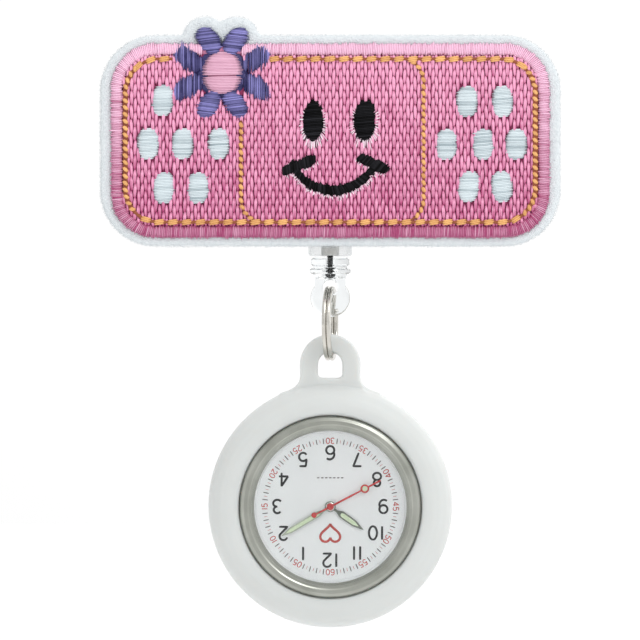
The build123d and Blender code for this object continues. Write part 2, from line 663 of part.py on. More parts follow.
PARTS = {
    "clip_base": clip_base, "clip_lever": clip_lever, "clip_pin": clip_pin,
    "clip_spring": clip_spring, "swivel_rivet": swivel_rivet, "swivel_washer": swivel_washer,
    "reel_back_shell": reel_back_shell, "reel_front_shell": reel_front_shell,
    "outlet_bush": outlet_bush, "spool": spool, "wound_cord": wound_cord,
    "mainspring": mainspring, "cord_lead": cord_lead, "cord_stub": cord_stub,
    "adhesive_pad": adhesive_pad,
    "felt_patch": felt_patch, "embroidery_field": embroidery_field,
    "embroidery_border": embroidery_border, "outline_stitching": outline_stitching,
    "face_eyes": face_eyes, "face_mouth": face_mouth, "white_dots": white_dots,
    "flower_petals": flower_petals, "flower_centre": flower_centre, "cord_knot": cord_knot,
    "cord_end_fitting": cord_end_fitting, "split_ring": split_ring,
    "silicone_jacket": silicone_jacket, "case_middle": case_middle, "crown_tube": crown_tube,
    "bezel": bezel, "crystal": crystal, "rehaut_ring": rehaut_ring, "case_back": case_back,
    "back_gasket": back_gasket, "movement_holder": movement_holder, "dial": dial,
    "main_plate": main_plate, "train_bridge": train_bridge, "stator": stator, "coil": coil,
    "battery": battery, "battery_clamp": battery_clamp, "circuit_board": circuit_board,
    "quartz_can": quartz_can, "rotor": rotor,
    "fifth_wheel": fifth_wheel, "fourth_wheel": fourth_wheel, "third_wheel": third_wheel,
    "centre_wheel": centre_wheel, "minute_wheel": minute_wheel, "hour_wheel": hour_wheel,
    "hour_hand": hour_hand, "hour_hand_lume": hour_hand_lume, "minute_hand": minute_hand,
    "minute_hand_lume": minute_hand_lume, "second_hand": second_hand, "crown": crown,
    "winding_stem": winding_stem,
}

for name, make in PARTS.items():
    save(name, make())
save("movement_screws", *movement_screws())
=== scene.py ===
from math import cos, pi, radians, sin

import bmesh
import bpy
import numpy as np
from mathutils import Matrix, Vector, noise


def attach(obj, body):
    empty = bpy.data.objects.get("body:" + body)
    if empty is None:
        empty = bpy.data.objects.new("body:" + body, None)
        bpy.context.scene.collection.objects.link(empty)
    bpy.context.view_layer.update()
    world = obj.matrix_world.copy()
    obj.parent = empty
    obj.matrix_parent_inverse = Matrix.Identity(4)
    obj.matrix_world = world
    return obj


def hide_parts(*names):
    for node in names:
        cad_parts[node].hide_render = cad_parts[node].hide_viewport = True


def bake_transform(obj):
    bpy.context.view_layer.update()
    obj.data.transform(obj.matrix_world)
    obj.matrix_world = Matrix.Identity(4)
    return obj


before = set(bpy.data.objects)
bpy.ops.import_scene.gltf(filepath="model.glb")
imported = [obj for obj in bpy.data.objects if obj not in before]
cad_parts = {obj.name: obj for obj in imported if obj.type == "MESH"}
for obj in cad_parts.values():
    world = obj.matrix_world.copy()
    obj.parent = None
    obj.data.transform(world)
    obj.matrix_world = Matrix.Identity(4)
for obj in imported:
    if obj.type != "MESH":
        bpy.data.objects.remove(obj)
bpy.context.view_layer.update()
rng = np.random.default_rng(7)
MM = 0.001

# Places shared with the CAD, in millimetres. The front looks toward -Y; Z is up.
FOOT = -1.7
FELT_BACK, FELT_FRONT, GROUND = -12.1, -13.9, -14.2
FIELD_MIDDLE = FOOT + 18.45
REEL_Z, RING_Z, HEAD_Z = 14.5, -15.2, -47.4
SLIDE_Y, BEZEL_Y = -7.25, -12.5
FLOWER = (-18.9, FOOT + 30.3)
LOBES, LOBE_RADIUS = [(-22.0, FOOT + 36.4), (-16.4, FOOT + 36.4)], 3.9
DOTS = [(-29.3, 25.5), (-31.8, 17.9), (-25.85, 17.9), (-19.5, 17.9), (-29.1, 10.2), (-23.1, 10.2),
        (23.9, 25.3), (30.1, 25.3), (20.3, 17.8), (26.7, 17.8), (32.5, 17.8), (24.2, 10.4),
        (30.0, 10.4)]
EYES = [(-3.0, 21.8, 4.3, 7.7), (6.0, 21.8, 4.5, 7.6)]

# Rounded frames on the patch: width, height, corner radius and centre.
FELT_FRAME = (80.6, 37.0, 9.8, (0, FOOT + 18.5))
FUZZ_FRAME = (80.4, 36.8, 9.7, (0, FOOT + 18.5))
CLOTH_FRAME = (75.6, 33.1, 7.3, (0, FIELD_MIDDLE))
BORDER_FRAME = (74.6, 31.85, 6.7, (0, FIELD_MIDDLE))
FILL_FRAME = (73.0, 30.4, 5.7, (0, FIELD_MIDDLE))
OUTLINE_FRAME = (71.6, 28.5, 5.8, (0, FIELD_MIDDLE))
PAD_FRAME = (31.9, 28.5, 3.9, (0.35, FIELD_MIDDLE))

# The camera in millimetres; the floor in metres, below the longest reach of the cord.
LENS, SENSOR, SEEN_WIDTH = 200, 36, 112.3
FLOOR_Z, FLOOR_SPAN, FLOOR_CELLS = -0.74, 24, 12


# Camera and stage.

def make_camera():
    """A long lens in front, far enough off to see a width of SEEN_WIDTH millimetres."""
    data = bpy.data.cameras.new("front_camera")
    data.lens, data.sensor_width = LENS, SENSOR
    camera = bpy.data.objects.new("front_camera", data)
    bpy.context.collection.objects.link(camera)
    camera.location = Vector((-1.8, -12.0 - SEEN_WIDTH * LENS / SENSOR, -14.6)) * MM
    camera.rotation_euler = (radians(90), 0, 0)
    data.clip_start, data.clip_end = 0.01, 20
    bpy.context.scene.camera = camera


def area_light(name, place, aim, size, power):
    data = bpy.data.lights.new(name, "AREA")
    data.shape, data.size, data.size_y = "RECTANGLE", *size
    data.energy = power
    light = bpy.data.objects.new(name, data)
    bpy.context.collection.objects.link(light)
    light.location = place
    light.rotation_euler = (Vector(aim) - Vector(place)).to_track_quat("-Z", "Y").to_euler()


def make_stage():
    """A pale floor, soft lights and a white studio."""
    marks = (np.arange(FLOOR_CELLS + 1) / FLOOR_CELLS - 0.5) * FLOOR_SPAN
    row = len(marks)
    corners = [j * row + k for j in range(FLOOR_CELLS) for k in range(FLOOR_CELLS)]
    floor = new_mesh("studio_floor", [(x, y, FLOOR_Z) for y in marks for x in marks],
                     [(c, c + 1, c + row + 1, c + row) for c in corners])
    floor.data.materials.append(PAPER)
    area_light("key_light", (0.45, -0.7, 0.8), (0, 0, 0), (0.45, 0.45), 3.4)
    area_light("fill_light", (-0.8, -0.7, 0.1), (0, 0, -0.02), (0.5, 0.7), 0.6)
    area_light("back_light", (0.35, 0.8, 0.5), (0, 0, 0), (0.5, 0.5), 0.8)
    make_world()


def make_world():
    """White light from all round, a little stronger from the upper right and behind."""
    world = bpy.data.worlds.new("studio_world")
    bpy.context.scene.world = world
    bpy.context.scene.view_settings.view_transform = "Standard"
    world.use_nodes = True
    tree = world.node_tree
    direction = add(tree, "TexCoord")
    lean = add(tree, "VectorMath", "DOT_PRODUCT", (0.26, 0.16, 0.34))
    level = add(tree, "Math", "ADD", 0.88)
    backdrop = tree.nodes["Background"]
    backdrop.inputs["Color"].default_value = (1, 1, 1, 1)
    wire(tree, direction, "Generated", lean, 0)
    wire(tree, lean, "Value", level, 0)
    wire(tree, level, "Value", backdrop, "Strength")


# Materials.

def add(tree, kind, operation=None, second=None, **sockets):
    """A shader node with its operation, second input and named sockets set."""
    made = tree.nodes.new("ShaderNode" + kind)
    if operation:
        made.operation = operation
    if second is not None:
        made.inputs[1].default_value = second
    set_sockets(made, sockets)
    return made


def set_sockets(node, sockets):
    for socket, value in sockets.items():
        node.inputs[socket.replace("_", " ")].default_value = value


def wire(tree, start, output, end, socket):
    tree.links.new(start.outputs[output], end.inputs[socket])


def surface(name, dark, light, scale, rough, bump=0.0, grit=None, stretch=(1, 1, 1), shade=None,
            rings=None, relief=0.0002, **sockets):
    """A procedural surface: mottled colour, uneven roughness and a fine bump.

    scale is the mottling's and grit the bump's, both per metre. shade names a vertex attribute
    that picks the colour; rings is the (x, z) centre of circular brushing."""
    made = bpy.data.materials.new("look_" + name)
    made.use_nodes = True
    tree = made.node_tree
    shader = tree.nodes["Principled BSDF"]
    where = add(tree, "TexCoord")
    mapping = add(tree, "Mapping", Scale=stretch)
    grain = add(tree, "TexNoise", Scale=scale, Detail=6)
    ramp = add(tree, "ValToRGB")
    wire(tree, where, "Object", mapping, "Vector")
    wire(tree, mapping, "Vector", grain, "Vector")
    wire(tree, ramp, "Color", shader, "Base Color")
    stops = (0.1, 1.0) if shade else (0.25, 0.75)
    for stop, at, colour in zip(ramp.color_ramp.elements, stops, (dark, light)):
        stop.position, stop.color = at, (*colour, 1)
    if shade:
        picked = add(tree, "Attribute")
        picked.attribute_name = shade
        blend = add(tree, "Math", "MULTIPLY_ADD", 0.3)
        wire(tree, grain, "Fac", blend, 0)
        wire(tree, picked, "Fac", blend, 2)
        wire(tree, blend, "Value", ramp, "Fac")
    else:
        wire(tree, grain, "Fac", ramp, "Fac")
    spread = add(tree, "MapRange", To_Min=rough[0], To_Max=rough[1])
    wire(tree, grain, "Fac", spread, "Value")
    wire(tree, spread, "Result", shader, "Roughness")
    if bump:
        fine = add(tree, "TexNoise", Scale=grit or scale * 8, Detail=4)
        if rings:
            centre = (rings[0] * MM, BEZEL_Y * MM, rings[1] * MM)
            shift = add(tree, "VectorMath", "SUBTRACT", centre)
            measure = add(tree, "VectorMath", "LENGTH")
            fine.noise_dimensions = "1D"
            wire(tree, where, "Object", shift, 0)
            wire(tree, shift, "Vector", measure, 0)
            wire(tree, measure, "Value", fine, "W")
        else:
            wire(tree, mapping, "Vector", fine, "Vector")
        raised = add(tree, "Bump", Strength=bump, Distance=relief)
        wire(tree, fine, "Fac", raised, "Height")
        wire(tree, raised, "Normal", shader, "Normal")
    set_sockets(shader, sockets)
    return made


def thread(name, dark, light, gloss=0.42, sheen=0.15):
    return surface(name, dark, light, 900, rough=(gloss, gloss + 0.12), bump=0.5, grit=5200,
                   shade="shade", relief=0.00006, Sheen_Weight=sheen, Sheen_Roughness=0.4)


def see_through(made, face, edge):
    """Clear sheet plastic: light passes straight on, less of it at grazing angles."""
    tree = made.node_tree
    layer = add(tree, "LayerWeight", Blend=0.25)
    span = add(tree, "MapRange", To_Min=face, To_Max=edge)
    wire(tree, layer, "Facing", span, "Value")
    wire(tree, span, "Result", tree.nodes["Principled BSDF"], "Alpha")
    return made


def ink(name, dark, light):
    return surface("dial_ink_" + name, dark, light, 2500, rough=(0.5, 0.65), bump=0.1)


PAPER = surface("studio_paper", (0.95, 0.95, 0.95), (0.98, 0.98, 0.98), 4, rough=(0.85, 0.95))
PINK = thread("thread_pink", (0.44, 0.04, 0.17), (0.93, 0.42, 0.62))
BORDER_PINK = thread("thread_border_pink", (0.40, 0.04, 0.16), (0.92, 0.56, 0.74))
CENTRE_PINK = thread("thread_centre_pink", (0.46, 0.16, 0.27), (0.82, 0.48, 0.63))
# The pink thread painted paler: a painted highlight on the threads lifted at the black satin's edge.
PINK_PAINTED_HIGHLIGHT = thread("thread_pink_painted_highlight", (0.66, 0.28, 0.44), (0.93, 0.80, 0.87))
PURPLE = thread("thread_purple", (0.010, 0.007, 0.09), (0.30, 0.28, 0.66), sheen=0.04)
ORANGE = thread("thread_orange", (0.40, 0.12, 0.025), (0.90, 0.50, 0.18))
BROWN_THREAD = thread("thread_brown", (0.16, 0.035, 0.012), (0.34, 0.09, 0.03), 0.6, 0.0)
WHITE_THREAD = thread("thread_white", (0.32, 0.40, 0.44), (0.71, 0.79, 0.825), 0.5)
BLACK_THREAD = surface(
    "thread_black", (0.0006, 0.0006, 0.0008), (0.022, 0.022, 0.026), 900, rough=(0.45, 0.6),
    bump=0.5, grit=5200, shade="shade", relief=0.00006, Specular_IOR_Level=0.08)
GROUND_PINK = surface(
    "ground_cloth_pink", (0.24, 0.02, 0.08), (0.36, 0.045, 0.14), 2500, rough=(0.7, 0.9), bump=0.6,
    grit=3000)
FELT = surface(
    "white_felt", (0.66, 0.71, 0.74), (0.78, 0.82, 0.84), 1600, rough=(0.85, 1.0), bump=0.7,
    grit=3500, relief=0.0004, Sheen_Weight=0.3, Sheen_Roughness=0.6)
SILICONE = surface(
    "white_silicone", (0.60, 0.62, 0.61), (0.64, 0.66, 0.65), 60, rough=(0.38, 0.50), bump=0.06,
    grit=2600, Subsurface_Weight=0.5, Subsurface_Radius=(0.004, 0.0035, 0.0032),
    Subsurface_Scale=0.7, IOR=1.41)
NICKEL = surface(
    "polished_nickel", (0.52, 0.50, 0.46), (0.70, 0.68, 0.63), 240, rough=(0.16, 0.28), bump=0.05,
    grit=3000, Metallic=1.0)
SPRING = surface(
    "spring_wire", (0.42, 0.42, 0.42), (0.60, 0.60, 0.58), 900, rough=(0.22, 0.36), bump=0.1,
    Metallic=1.0)
BRUSHED = surface(
    "brushed_case_steel", (0.30, 0.31, 0.275), (0.45, 0.46, 0.42), 160, rough=(0.24, 0.38),
    bump=0.35, grit=9000, rings=(0, HEAD_Z), relief=0.00003, Metallic=1.0)
STEEL = surface(
    "case_side_steel", (0.52, 0.52, 0.50), (0.66, 0.66, 0.63), 500, rough=(0.2, 0.32), bump=0.1,
    grit=2500, stretch=(1, 8, 1), Metallic=1.0)
CLEAR = see_through(surface("frosted_clear_shell", (0.80, 0.83, 0.85), (0.90, 0.93, 0.94), 120,
                            rough=(0.08, 0.16), bump=0.08, grit=1500, IOR=1.5), 0.18, 0.8)
FITTING = surface(
    "clear_fitting", (0.84, 0.86, 0.87), (0.92, 0.94, 0.945), 500, rough=(0.02, 0.06), bump=0.10,
    grit=900, Transmission_Weight=1.0, IOR=1.38)
GLASS = surface(
    "mineral_glass", (0.97, 0.985, 0.98), (1.0, 1.0, 1.0), 50, rough=(0.0, 0.015),
    Transmission_Weight=1.0, IOR=1.28)
CORD = surface(
    "black_braid", (0.008, 0.008, 0.009), (0.035, 0.035, 0.038), 3000, rough=(0.6, 0.8), bump=0.8,
    grit=4000)
MOULDED = surface(
    "white_moulding", (0.74, 0.74, 0.72), (0.84, 0.84, 0.82), 300, rough=(0.4, 0.55), bump=0.1,
    grit=3000)
FOAM = surface(
    "adhesive_foam", (0.70, 0.71, 0.69), (0.84, 0.85, 0.83), 2000, rough=(0.8, 0.95), bump=0.5,
    grit=5000)
DIAL_WHITE = surface(
    "dial_enamel", (0.93, 0.945, 0.955), (0.965, 0.98, 0.985), 120, rough=(0.35, 0.5), bump=0.03,
    grit=4000)
INK_BLACK = ink("black", (0.010, 0.012, 0.012), (0.03, 0.033, 0.033))
INK_GREY = ink("grey", (0.10, 0.085, 0.085), (0.17, 0.15, 0.15))
INK_RED = ink("red", (0.52, 0.05, 0.045), (0.66, 0.11, 0.09))
HAND_RED = surface(
    "red_hand_lacquer", (0.50, 0.018, 0.02), (0.66, 0.04, 0.035), 900, rough=(0.22, 0.32),
    bump=0.05, Coat_Weight=0.5)
HAND_PALE = surface(
    "pale_hand", (0.34, 0.39, 0.30), (0.55, 0.60, 0.48), 900, rough=(0.3, 0.4), bump=0.05,
    Metallic=0.3)
HAND_DARK = surface(
    "gunmetal_hand", (0.10, 0.12, 0.10), (0.24, 0.26, 0.22), 900, rough=(0.25, 0.38), bump=0.05,
    Metallic=0.7)
LUME = surface(
    "luminous_fill", (0.66, 0.80, 0.52), (0.84, 0.92, 0.72), 3000, rough=(0.6, 0.75), bump=0.3,
    grit=9000)
BRASS = surface(
    "movement_brass", (0.50, 0.36, 0.14), (0.72, 0.54, 0.24), 800, rough=(0.2, 0.35), bump=0.1,
    stretch=(1, 1, 6), Metallic=1.0)
COPPER = surface(
    "coil_copper", (0.42, 0.14, 0.05), (0.66, 0.26, 0.10), 1500, rough=(0.3, 0.4), bump=0.5,
    grit=9000, stretch=(0.1, 0.1, 1), Metallic=0.9)
BOARD = surface(
    "circuit_board_mask", (0.01, 0.09, 0.03), (0.03, 0.17, 0.07), 900, rough=(0.35, 0.5), bump=0.1)
GASKET = surface(
    "gasket_rubber", (0.02, 0.02, 0.02), (0.05, 0.05, 0.05), 900, rough=(0.6, 0.8), bump=0.2)


# Mesh helpers.

def new_mesh(name, verts, faces):
    mesh = bpy.data.meshes.new(name)
    mesh.from_pydata([tuple(v) for v in verts], [], [tuple(f) for f in faces])
    mesh.update()
    obj = bpy.data.objects.new(name, mesh)
    bpy.context.collection.objects.link(obj)
    return obj


def place(obj, material, body, slot, stands_for=None):
    """Give a piece its look and body, and hide the CAD node that it replaces; slot is not used."""
    obj.data.materials.clear()
    obj.data.materials.append(material)
    obj.data.polygons.foreach_set("use_smooth", [True] * len(obj.data.polygons))
    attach(obj, body)
    if stands_for:
        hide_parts(stands_for)


def full_turn(count):
    return np.linspace(0, 2 * pi, count, endpoint=False)


def strands(name, paths, widths, height, sides, shades=None, tip=0.35, painted_end_shade=0.0, under=0.0,
            painted_highlight=0.0):
    """One mesh of many tapered threads. paths is (threads, points, 3) in millimetres.

    The last three arguments paint light into the colour: painted shade on the ends, where a thread
    dives into the cloth, painted shade on its flanks and a painted highlight on its upper crown."""
    paths = np.asarray(paths, float)
    count, steps = paths.shape[:2]
    widths = np.broadcast_to(np.asarray(widths, float), (count,))
    along = np.gradient(paths, axis=1)
    along /= np.linalg.norm(along, axis=2, keepdims=True) + 1e-12
    out = np.broadcast_to((0.0, -1.0, 0.0), along.shape)
    out = out - along * np.sum(out * along, axis=2, keepdims=True)
    out /= np.linalg.norm(out, axis=2, keepdims=True) + 1e-12
    side = np.cross(along, out)
    s = np.linspace(-1, 1, steps)
    taper = tip + (1 - tip) * np.sqrt(np.clip(1 - np.abs(s) ** 5, 0, 1))
    angles = full_turn(sides)
    half_w = (widths[:, None] / 2 * taper)[:, :, None, None]
    half_h = (np.full(count, height)[:, None] / 2 * taper)[:, :, None, None]
    ring = (side[:, :, None, :] * (np.cos(angles)[None, None, :, None] * half_w)
            + out[:, :, None, :] * (np.sin(angles)[None, None, :, None] * half_h))
    verts = ((paths[:, :, None, :] + ring) * MM).reshape(-1, 3)
    base = (np.arange(count)[:, None, None] * steps + np.arange(steps - 1)[None, :, None]) * sides
    here = np.arange(sides)[None, None, :]
    after = (here + 1) % sides
    quads = np.stack([base + here, base + after, base + sides + after, base + sides + here], axis=-1)
    faces = quads.reshape(-1, 4).tolist()
    for k in range(count):
        first, last = k * steps * sides, (k * steps + steps - 1) * sides
        faces.append(list(range(first, first + sides))[::-1])
        faces.append(list(range(last, last + sides)))
    obj = new_mesh(name, verts, faces)
    tone = rng.uniform(0.25, 0.75, count) if shades is None else np.asarray(shades, float)
    # Painted light along each thread: a painted highlight on the upper crown, painted shade toward
    # both ends.
    painted_light_along = painted_highlight * np.exp(-((s - 0.4) / 0.3) ** 2) - painted_end_shade * np.abs(s) ** 3
    # Each thread's tone, plus the painted light along it and painted shade on its flanks.
    values = (tone[:, None, None] + painted_light_along[None, :, None]
              - under * (1 - np.sin(angles))[None, None, :] / 2)
    values = np.clip(values, 0, 1).astype(np.float32).ravel()
    # The shade attribute carries each thread's tone together with its painted shade and highlight.
    obj.data.attributes.new("shade", "FLOAT", "POINT").data.foreach_set("value", values)
    return obj


def arc_path(start, end, base, rise, steps=8, power=0.5):
    """A thread from start to end, (x, z) pairs, that humps toward the viewer."""
    s = np.linspace(-1, 1, steps)
    x = start[0] + (end[0] - start[0]) * (s + 1) / 2
    z = start[1] + (end[1] - start[1]) * (s + 1) / 2
    y = base - rise * np.clip(1 - s ** 2, 0, 1) ** power
    return np.stack([x, y, z], axis=1)


def run_along(points):
    """Length run from the first point to each point."""
    return np.concatenate([[0], np.cumsum(np.linalg.norm(np.diff(points, axis=0), axis=1))])


def sample(points, run, at):
    """Places on a line at the lengths in at."""
    return np.stack([np.interp(at, run, column) for column in points.T], axis=1)


def rounded_frame(width, height, corner, centre, spacing):
    """Even points on a rounded rectangle from its top middle, outward normals and directions."""
    w, h = width / 2 - corner, height / 2 - corner
    line = [(0, height / 2)]
    for k, (x, z) in enumerate(((w, h), (w, -h), (-w, -h), (-w, h))):
        for angle in np.radians(np.linspace(90, 0, 31) - 90 * k):
            line.append((x + corner * cos(angle), z + corner * sin(angle)))
    line = np.array(line + line[:1])
    run = run_along(line)
    count = int(round(run[-1] / spacing))
    points = sample(line, run, np.arange(count) * run[-1] / count)
    ahead = np.roll(points, -1, axis=0) - np.roll(points, 1, axis=0)
    ahead /= np.linalg.norm(ahead, axis=1, keepdims=True)
    return points + centre, np.stack([-ahead[:, 1], ahead[:, 0]], axis=1), ahead


def inside_frame(x, z, width, height, corner, centre):
    dx = abs(x - centre[0]) - (width / 2 - corner)
    dz = abs(z - centre[1]) - (height / 2 - corner)
    return np.hypot(max(dx, 0), max(dz, 0)) < corner and max(dx, dz) < corner


def circle(x, z, radius, count):
    return [(x + radius * cos(a), z + radius * sin(a)) for a in full_turn(count)]


def in_oval(x, z, cx, cz, a, b):
    return ((x - cx) / a) ** 2 + ((z - cz) / b) ** 2 < 1


def loft(name, rings, closed=False):
    """A skin over rings of as many points each; it has end caps unless it closes on itself."""
    count, n = len(rings), len(rings[0])
    faces = []
    for r in range(count if closed else count - 1):
        here, there = r * n, (r + 1) % count * n
        faces += [(here + k, here + (k + 1) % n, there + (k + 1) % n, there + k) for k in range(n)]
    if not closed:
        faces += [range(n)[::-1], range((count - 1) * n, count * n)]
    return new_mesh(name, [Vector(p) * MM for ring in rings for p in ring], faces)


def solid_plate(name, outline, back, front, rim):
    """A plate with a rounded front edge from an outline of (x, z) points."""
    inward = outline.mean(axis=0) - outline
    inward /= np.linalg.norm(inward, axis=1, keepdims=True)
    levels = ((back, 0.0), (front + rim, 0.0), (front + rim * 0.3, rim * 0.3), (front, rim))
    return loft(name, [[(x, y, z) for x, z in outline + inward * pull] for y, pull in levels])


def lathe(name, profile, centre, turns):
    """Turn a closed (radius, y) profile about the Y axis through centre (x, z)."""
    obj = loft(name, [[(centre[0] + r * cos(a), y, centre[1] + r * sin(a)) for r, y in profile]
                      for a in full_turn(turns)], True)
    tidy(obj)
    return obj


def tidy(obj, merge=1e-7):
    """Weld points that meet, drop faces without area and turn the rest outward."""
    work = bmesh.new()
    work.from_mesh(obj.data)
    bmesh.ops.remove_doubles(work, verts=work.verts, dist=merge)
    bmesh.ops.dissolve_degenerate(work, dist=merge, edges=work.edges)
    bmesh.ops.recalc_face_normals(work, faces=work.faces)
    work.to_mesh(obj.data)
    work.free()


def apply_modifiers(obj):
    bpy.context.view_layer.update()
    shape = obj.evaluated_get(bpy.context.evaluated_depsgraph_get())
    mesh = bpy.data.meshes.new_from_object(shape)
    obj.modifiers.clear()
    old, obj.data = obj.data, mesh
    bpy.data.meshes.remove(old)


def join(name, parts):
    """One mesh holding several closed meshes."""
    work = bmesh.new()
    for part in parts:
        work.from_mesh(part.data)
    mesh = bpy.data.meshes.new(name)
    work.to_mesh(mesh)
    work.free()
    for part in parts:
        bpy.data.objects.remove(part)
    obj = bpy.data.objects.new(name, mesh)
    bpy.context.collection.objects.link(obj)
    return obj


def cut_away(obj, tool):
    hole = obj.modifiers.new("cut", "BOOLEAN")
    hole.operation, hole.object, hole.solver = "DIFFERENCE", tool, "EXACT"
    apply_modifiers(obj)
    bpy.data.objects.remove(tool)


def melt(obj, voxel, passes):
    """Remesh into one skin and smooth it."""
    skin = obj.modifiers.new("skin", "REMESH")
    skin.mode, skin.voxel_size = "VOXEL", voxel * MM
    soft = obj.modifiers.new("soft", "SMOOTH")
    soft.factor, soft.iterations = 0.5, passes
    apply_modifiers(obj)


def prism(name, outline, back, front):
    """A straight-sided solid from an outline of (x, z) points."""
    obj = loft(name, [[(x, y, z) for x, z in outline] for y in (back, front)])
    tidy(obj)
    return obj


# The embroidered patch.

def ruffle_skin(obj):
    """Push the skin in and out a little, as pressed fibres do."""
    mesh = obj.data
    spots, ways = np.empty(len(mesh.vertices) * 3), np.empty(len(mesh.vertices) * 3)
    mesh.vertices.foreach_get("co", spots)
    mesh.vertex_normals.foreach_get("vector", ways)
    spots, ways = spots.reshape(-1, 3), ways.reshape(-1, 3)
    push = [noise.noise(Vector(p) * 900) * 0.10 + noise.noise(Vector(p) * 240) * 0.08 - 0.02
            for p in spots]
    mesh.vertices.foreach_set("co", (spots + ways * np.array(push)[:, None] * MM).ravel())
    mesh.update()


def make_felt():
    """Soft felt backing with a fuzzy rim."""
    outlines = [rounded_frame(*FELT_FRAME, 0.8)[0]]
    outlines += [circle(*spot, LOBE_RADIUS, 48) for spot in LOBES]
    felt = join("felt_backing", [prism("felt_part", o, FELT_BACK, FELT_FRONT) for o in outlines])
    melt(felt, 0.45, 6)
    ruffle_skin(felt)
    place(felt, FELT, "reel", "felt_white", "felt_patch")
    make_fuzz()


def make_fuzz():
    """Loose fibres standing off the felt's edge."""
    radius, paths = LOBE_RADIUS - 0.1, []
    spots = [(p, n, t) for p, n, t in zip(*rounded_frame(*FUZZ_FRAME, 0.085))
             if not (-26.5 < p[0] < -12 and p[1] > 30)]
    for lobe, other in zip(LOBES, LOBES[::-1]):
        for a in np.linspace(-0.3, pi + 0.3, 150):
            n = np.array([cos(a), sin(a)])
            p = lobe + radius * n
            if np.hypot(*(p - other)) > radius:
                spots.append((p, n, np.array([-n[1], n[0]])))
    for p, n, t in spots:
        y = rng.uniform(-13.85, -12.2)
        reach, lean, lift = rng.uniform(0.12, 0.42), rng.normal(0, 0.35), rng.normal(0, 0.2)
        s, curl = np.linspace(0, 1, 4), rng.normal(0, 0.12)
        sway = (lean * s + curl * np.sin(s * pi)) * 0.7
        x, z = (p[i] + n[i] * reach * s + t[i] * sway for i in (0, 1))
        paths.append(np.stack([x, y + lift * s, z], axis=1))
    fuzz = strands("felt_fuzz", paths, rng.uniform(0.03, 0.06, len(paths)), 0.04, 3, tip=0.5)
    place(fuzz, FELT, "reel", "felt_white")


def make_ground():
    """Cloth under the stitches."""
    ring = rounded_frame(*CLOTH_FRAME, 0.7)[0]
    ground = solid_plate("ground_cloth", ring, FELT_FRONT + 0.05, GROUND, 0.2)
    place(ground, GROUND_PINK, "reel", "thread_pink", "embroidery_field")


def keep_clear(x, z):
    """Where the fill leaves room for a motif."""
    for cx, height in DOTS:
        if in_oval(x, z, cx, FOOT + height, 1.75, 2.65):
            return True
    for cx, height, w, h in EYES:
        if in_oval(x, z, cx, FOOT + height, w / 2 - 0.3, h / 2 - 0.3):
            return True
    return in_oval(x, z, *FLOWER, 4.8, 4.8)


def make_fill():
    """Rows of upright stitches, each a small bundle of threads, offset like bricks."""
    pitch, tall, half_field, rows = 0.62, 2.5, 36.0, 7
    pad_width, pad_middle = PAD_FRAME[0], PAD_FRAME[3][0]
    pad_left, pad_right = pad_middle - pad_width / 2, pad_middle + pad_width / 2
    bundles = {"fill_left": [], "fill_centre": [], "fill_right": []}
    tones = {key: [] for key in bundles}
    for c, x0 in enumerate(np.arange(-half_field, half_field + 0.01, pitch)):
        for row in range(-rows, rows + 1):
            z0 = FIELD_MIDDLE + (row + (0.5 if c % 2 else 0)) * tall + rng.normal(0, 0.03)
            x = x0 + rng.normal(0, 0.025)
            if keep_clear(x, z0):
                continue
            half = tall / 2 + 0.22
            top, low = z0 + half, z0 - half
            while top > low and not inside_frame(x, top, *FILL_FRAME):
                top -= 0.15
            while top > low and not inside_frame(x, low, *FILL_FRAME):
                low += 0.15
            if top - low < 0.8:
                continue
            part = ("fill_left" if x < pad_left else
                    "fill_right" if x > pad_right else "fill_centre")
            lean = (0.06 if c % 2 else -0.06) + rng.normal(0, 0.03)
            # Painted shade: stitches lighter toward the top and darker toward the bottom, as the
            # light falls.
            tone = rng.uniform(0.48, 0.62) + 0.2 * (z0 - FIELD_MIDDLE) / 15
            for k in (-1, 0, 1):
                s = np.linspace(-1, 1, 7)
                spread = k * (0.05 + 0.13 * (1 - s ** 2))
                px = x + spread + lean * s
                pz = (top + low) / 2 + (top - low) / 2 * s
                py = GROUND - 0.02 - 0.34 * (1 - s ** 2) ** 0.6 - (0.05 if k == 0 else 0)
                bundles[part].append(np.stack([px, py, pz], axis=1))
                # Painted highlight on the middle thread of each bundle, painted shade on the outer
                # two.
                tones[part].append(tone + rng.normal(0, 0.13) + (0.1 if k == 0 else -0.08))
    for part, paths in bundles.items():
        # Painted shade on the thread ends and flanks, and a painted highlight on each crown.
        fill = strands(part, paths, 0.25, 0.26, 6, tones[part], tip=0.35, painted_end_shade=0.8, under=0.34,
                       painted_highlight=0.34)
        place(fill, PINK, "reel", "thread_pink")


def make_border():
    """Dense satin stitches over the patch's edge."""
    paths, tones, slant = [], [], 0.08
    for p, n, t in zip(*rounded_frame(*BORDER_FRAME, 0.30)):
        if in_oval(p[0], p[1], *FLOWER, 5.3, 5.3):
            continue
        outer, inner = 1.14 + rng.normal(0, 0.09), 1.12 + rng.normal(0, 0.09)
        paths.append(arc_path(p - n * inner - t * slant, p + n * outer + t * slant,
                              FELT_FRONT - 0.08, 0.78 + rng.normal(0, 0.02), 9, 0.42))
        # Painted shade: the border lighter toward the top and darker toward the bottom.
        tones.append(0.60 + 0.38 * (p[1] - FIELD_MIDDLE) / 16 + rng.normal(0, 0.12))
    # Painted shade on the thread ends and flanks.
    border = strands("satin_border", paths, 0.31, 0.27, 6, tones, painted_end_shade=0.45, under=0.55)
    place(border, BORDER_PINK, "reel", "thread_deep_pink", "embroidery_border")
    x, z = rounded_frame(*BORDER_FRAME, 0.9)[0].T
    core = strands("border_padding", [np.stack([x, np.full(len(x), FELT_FRONT - 0.25), z], axis=1)],
                   1.9, 0.85, 10, [0.2])
    place(core, BORDER_PINK, "reel", "thread_deep_pink")


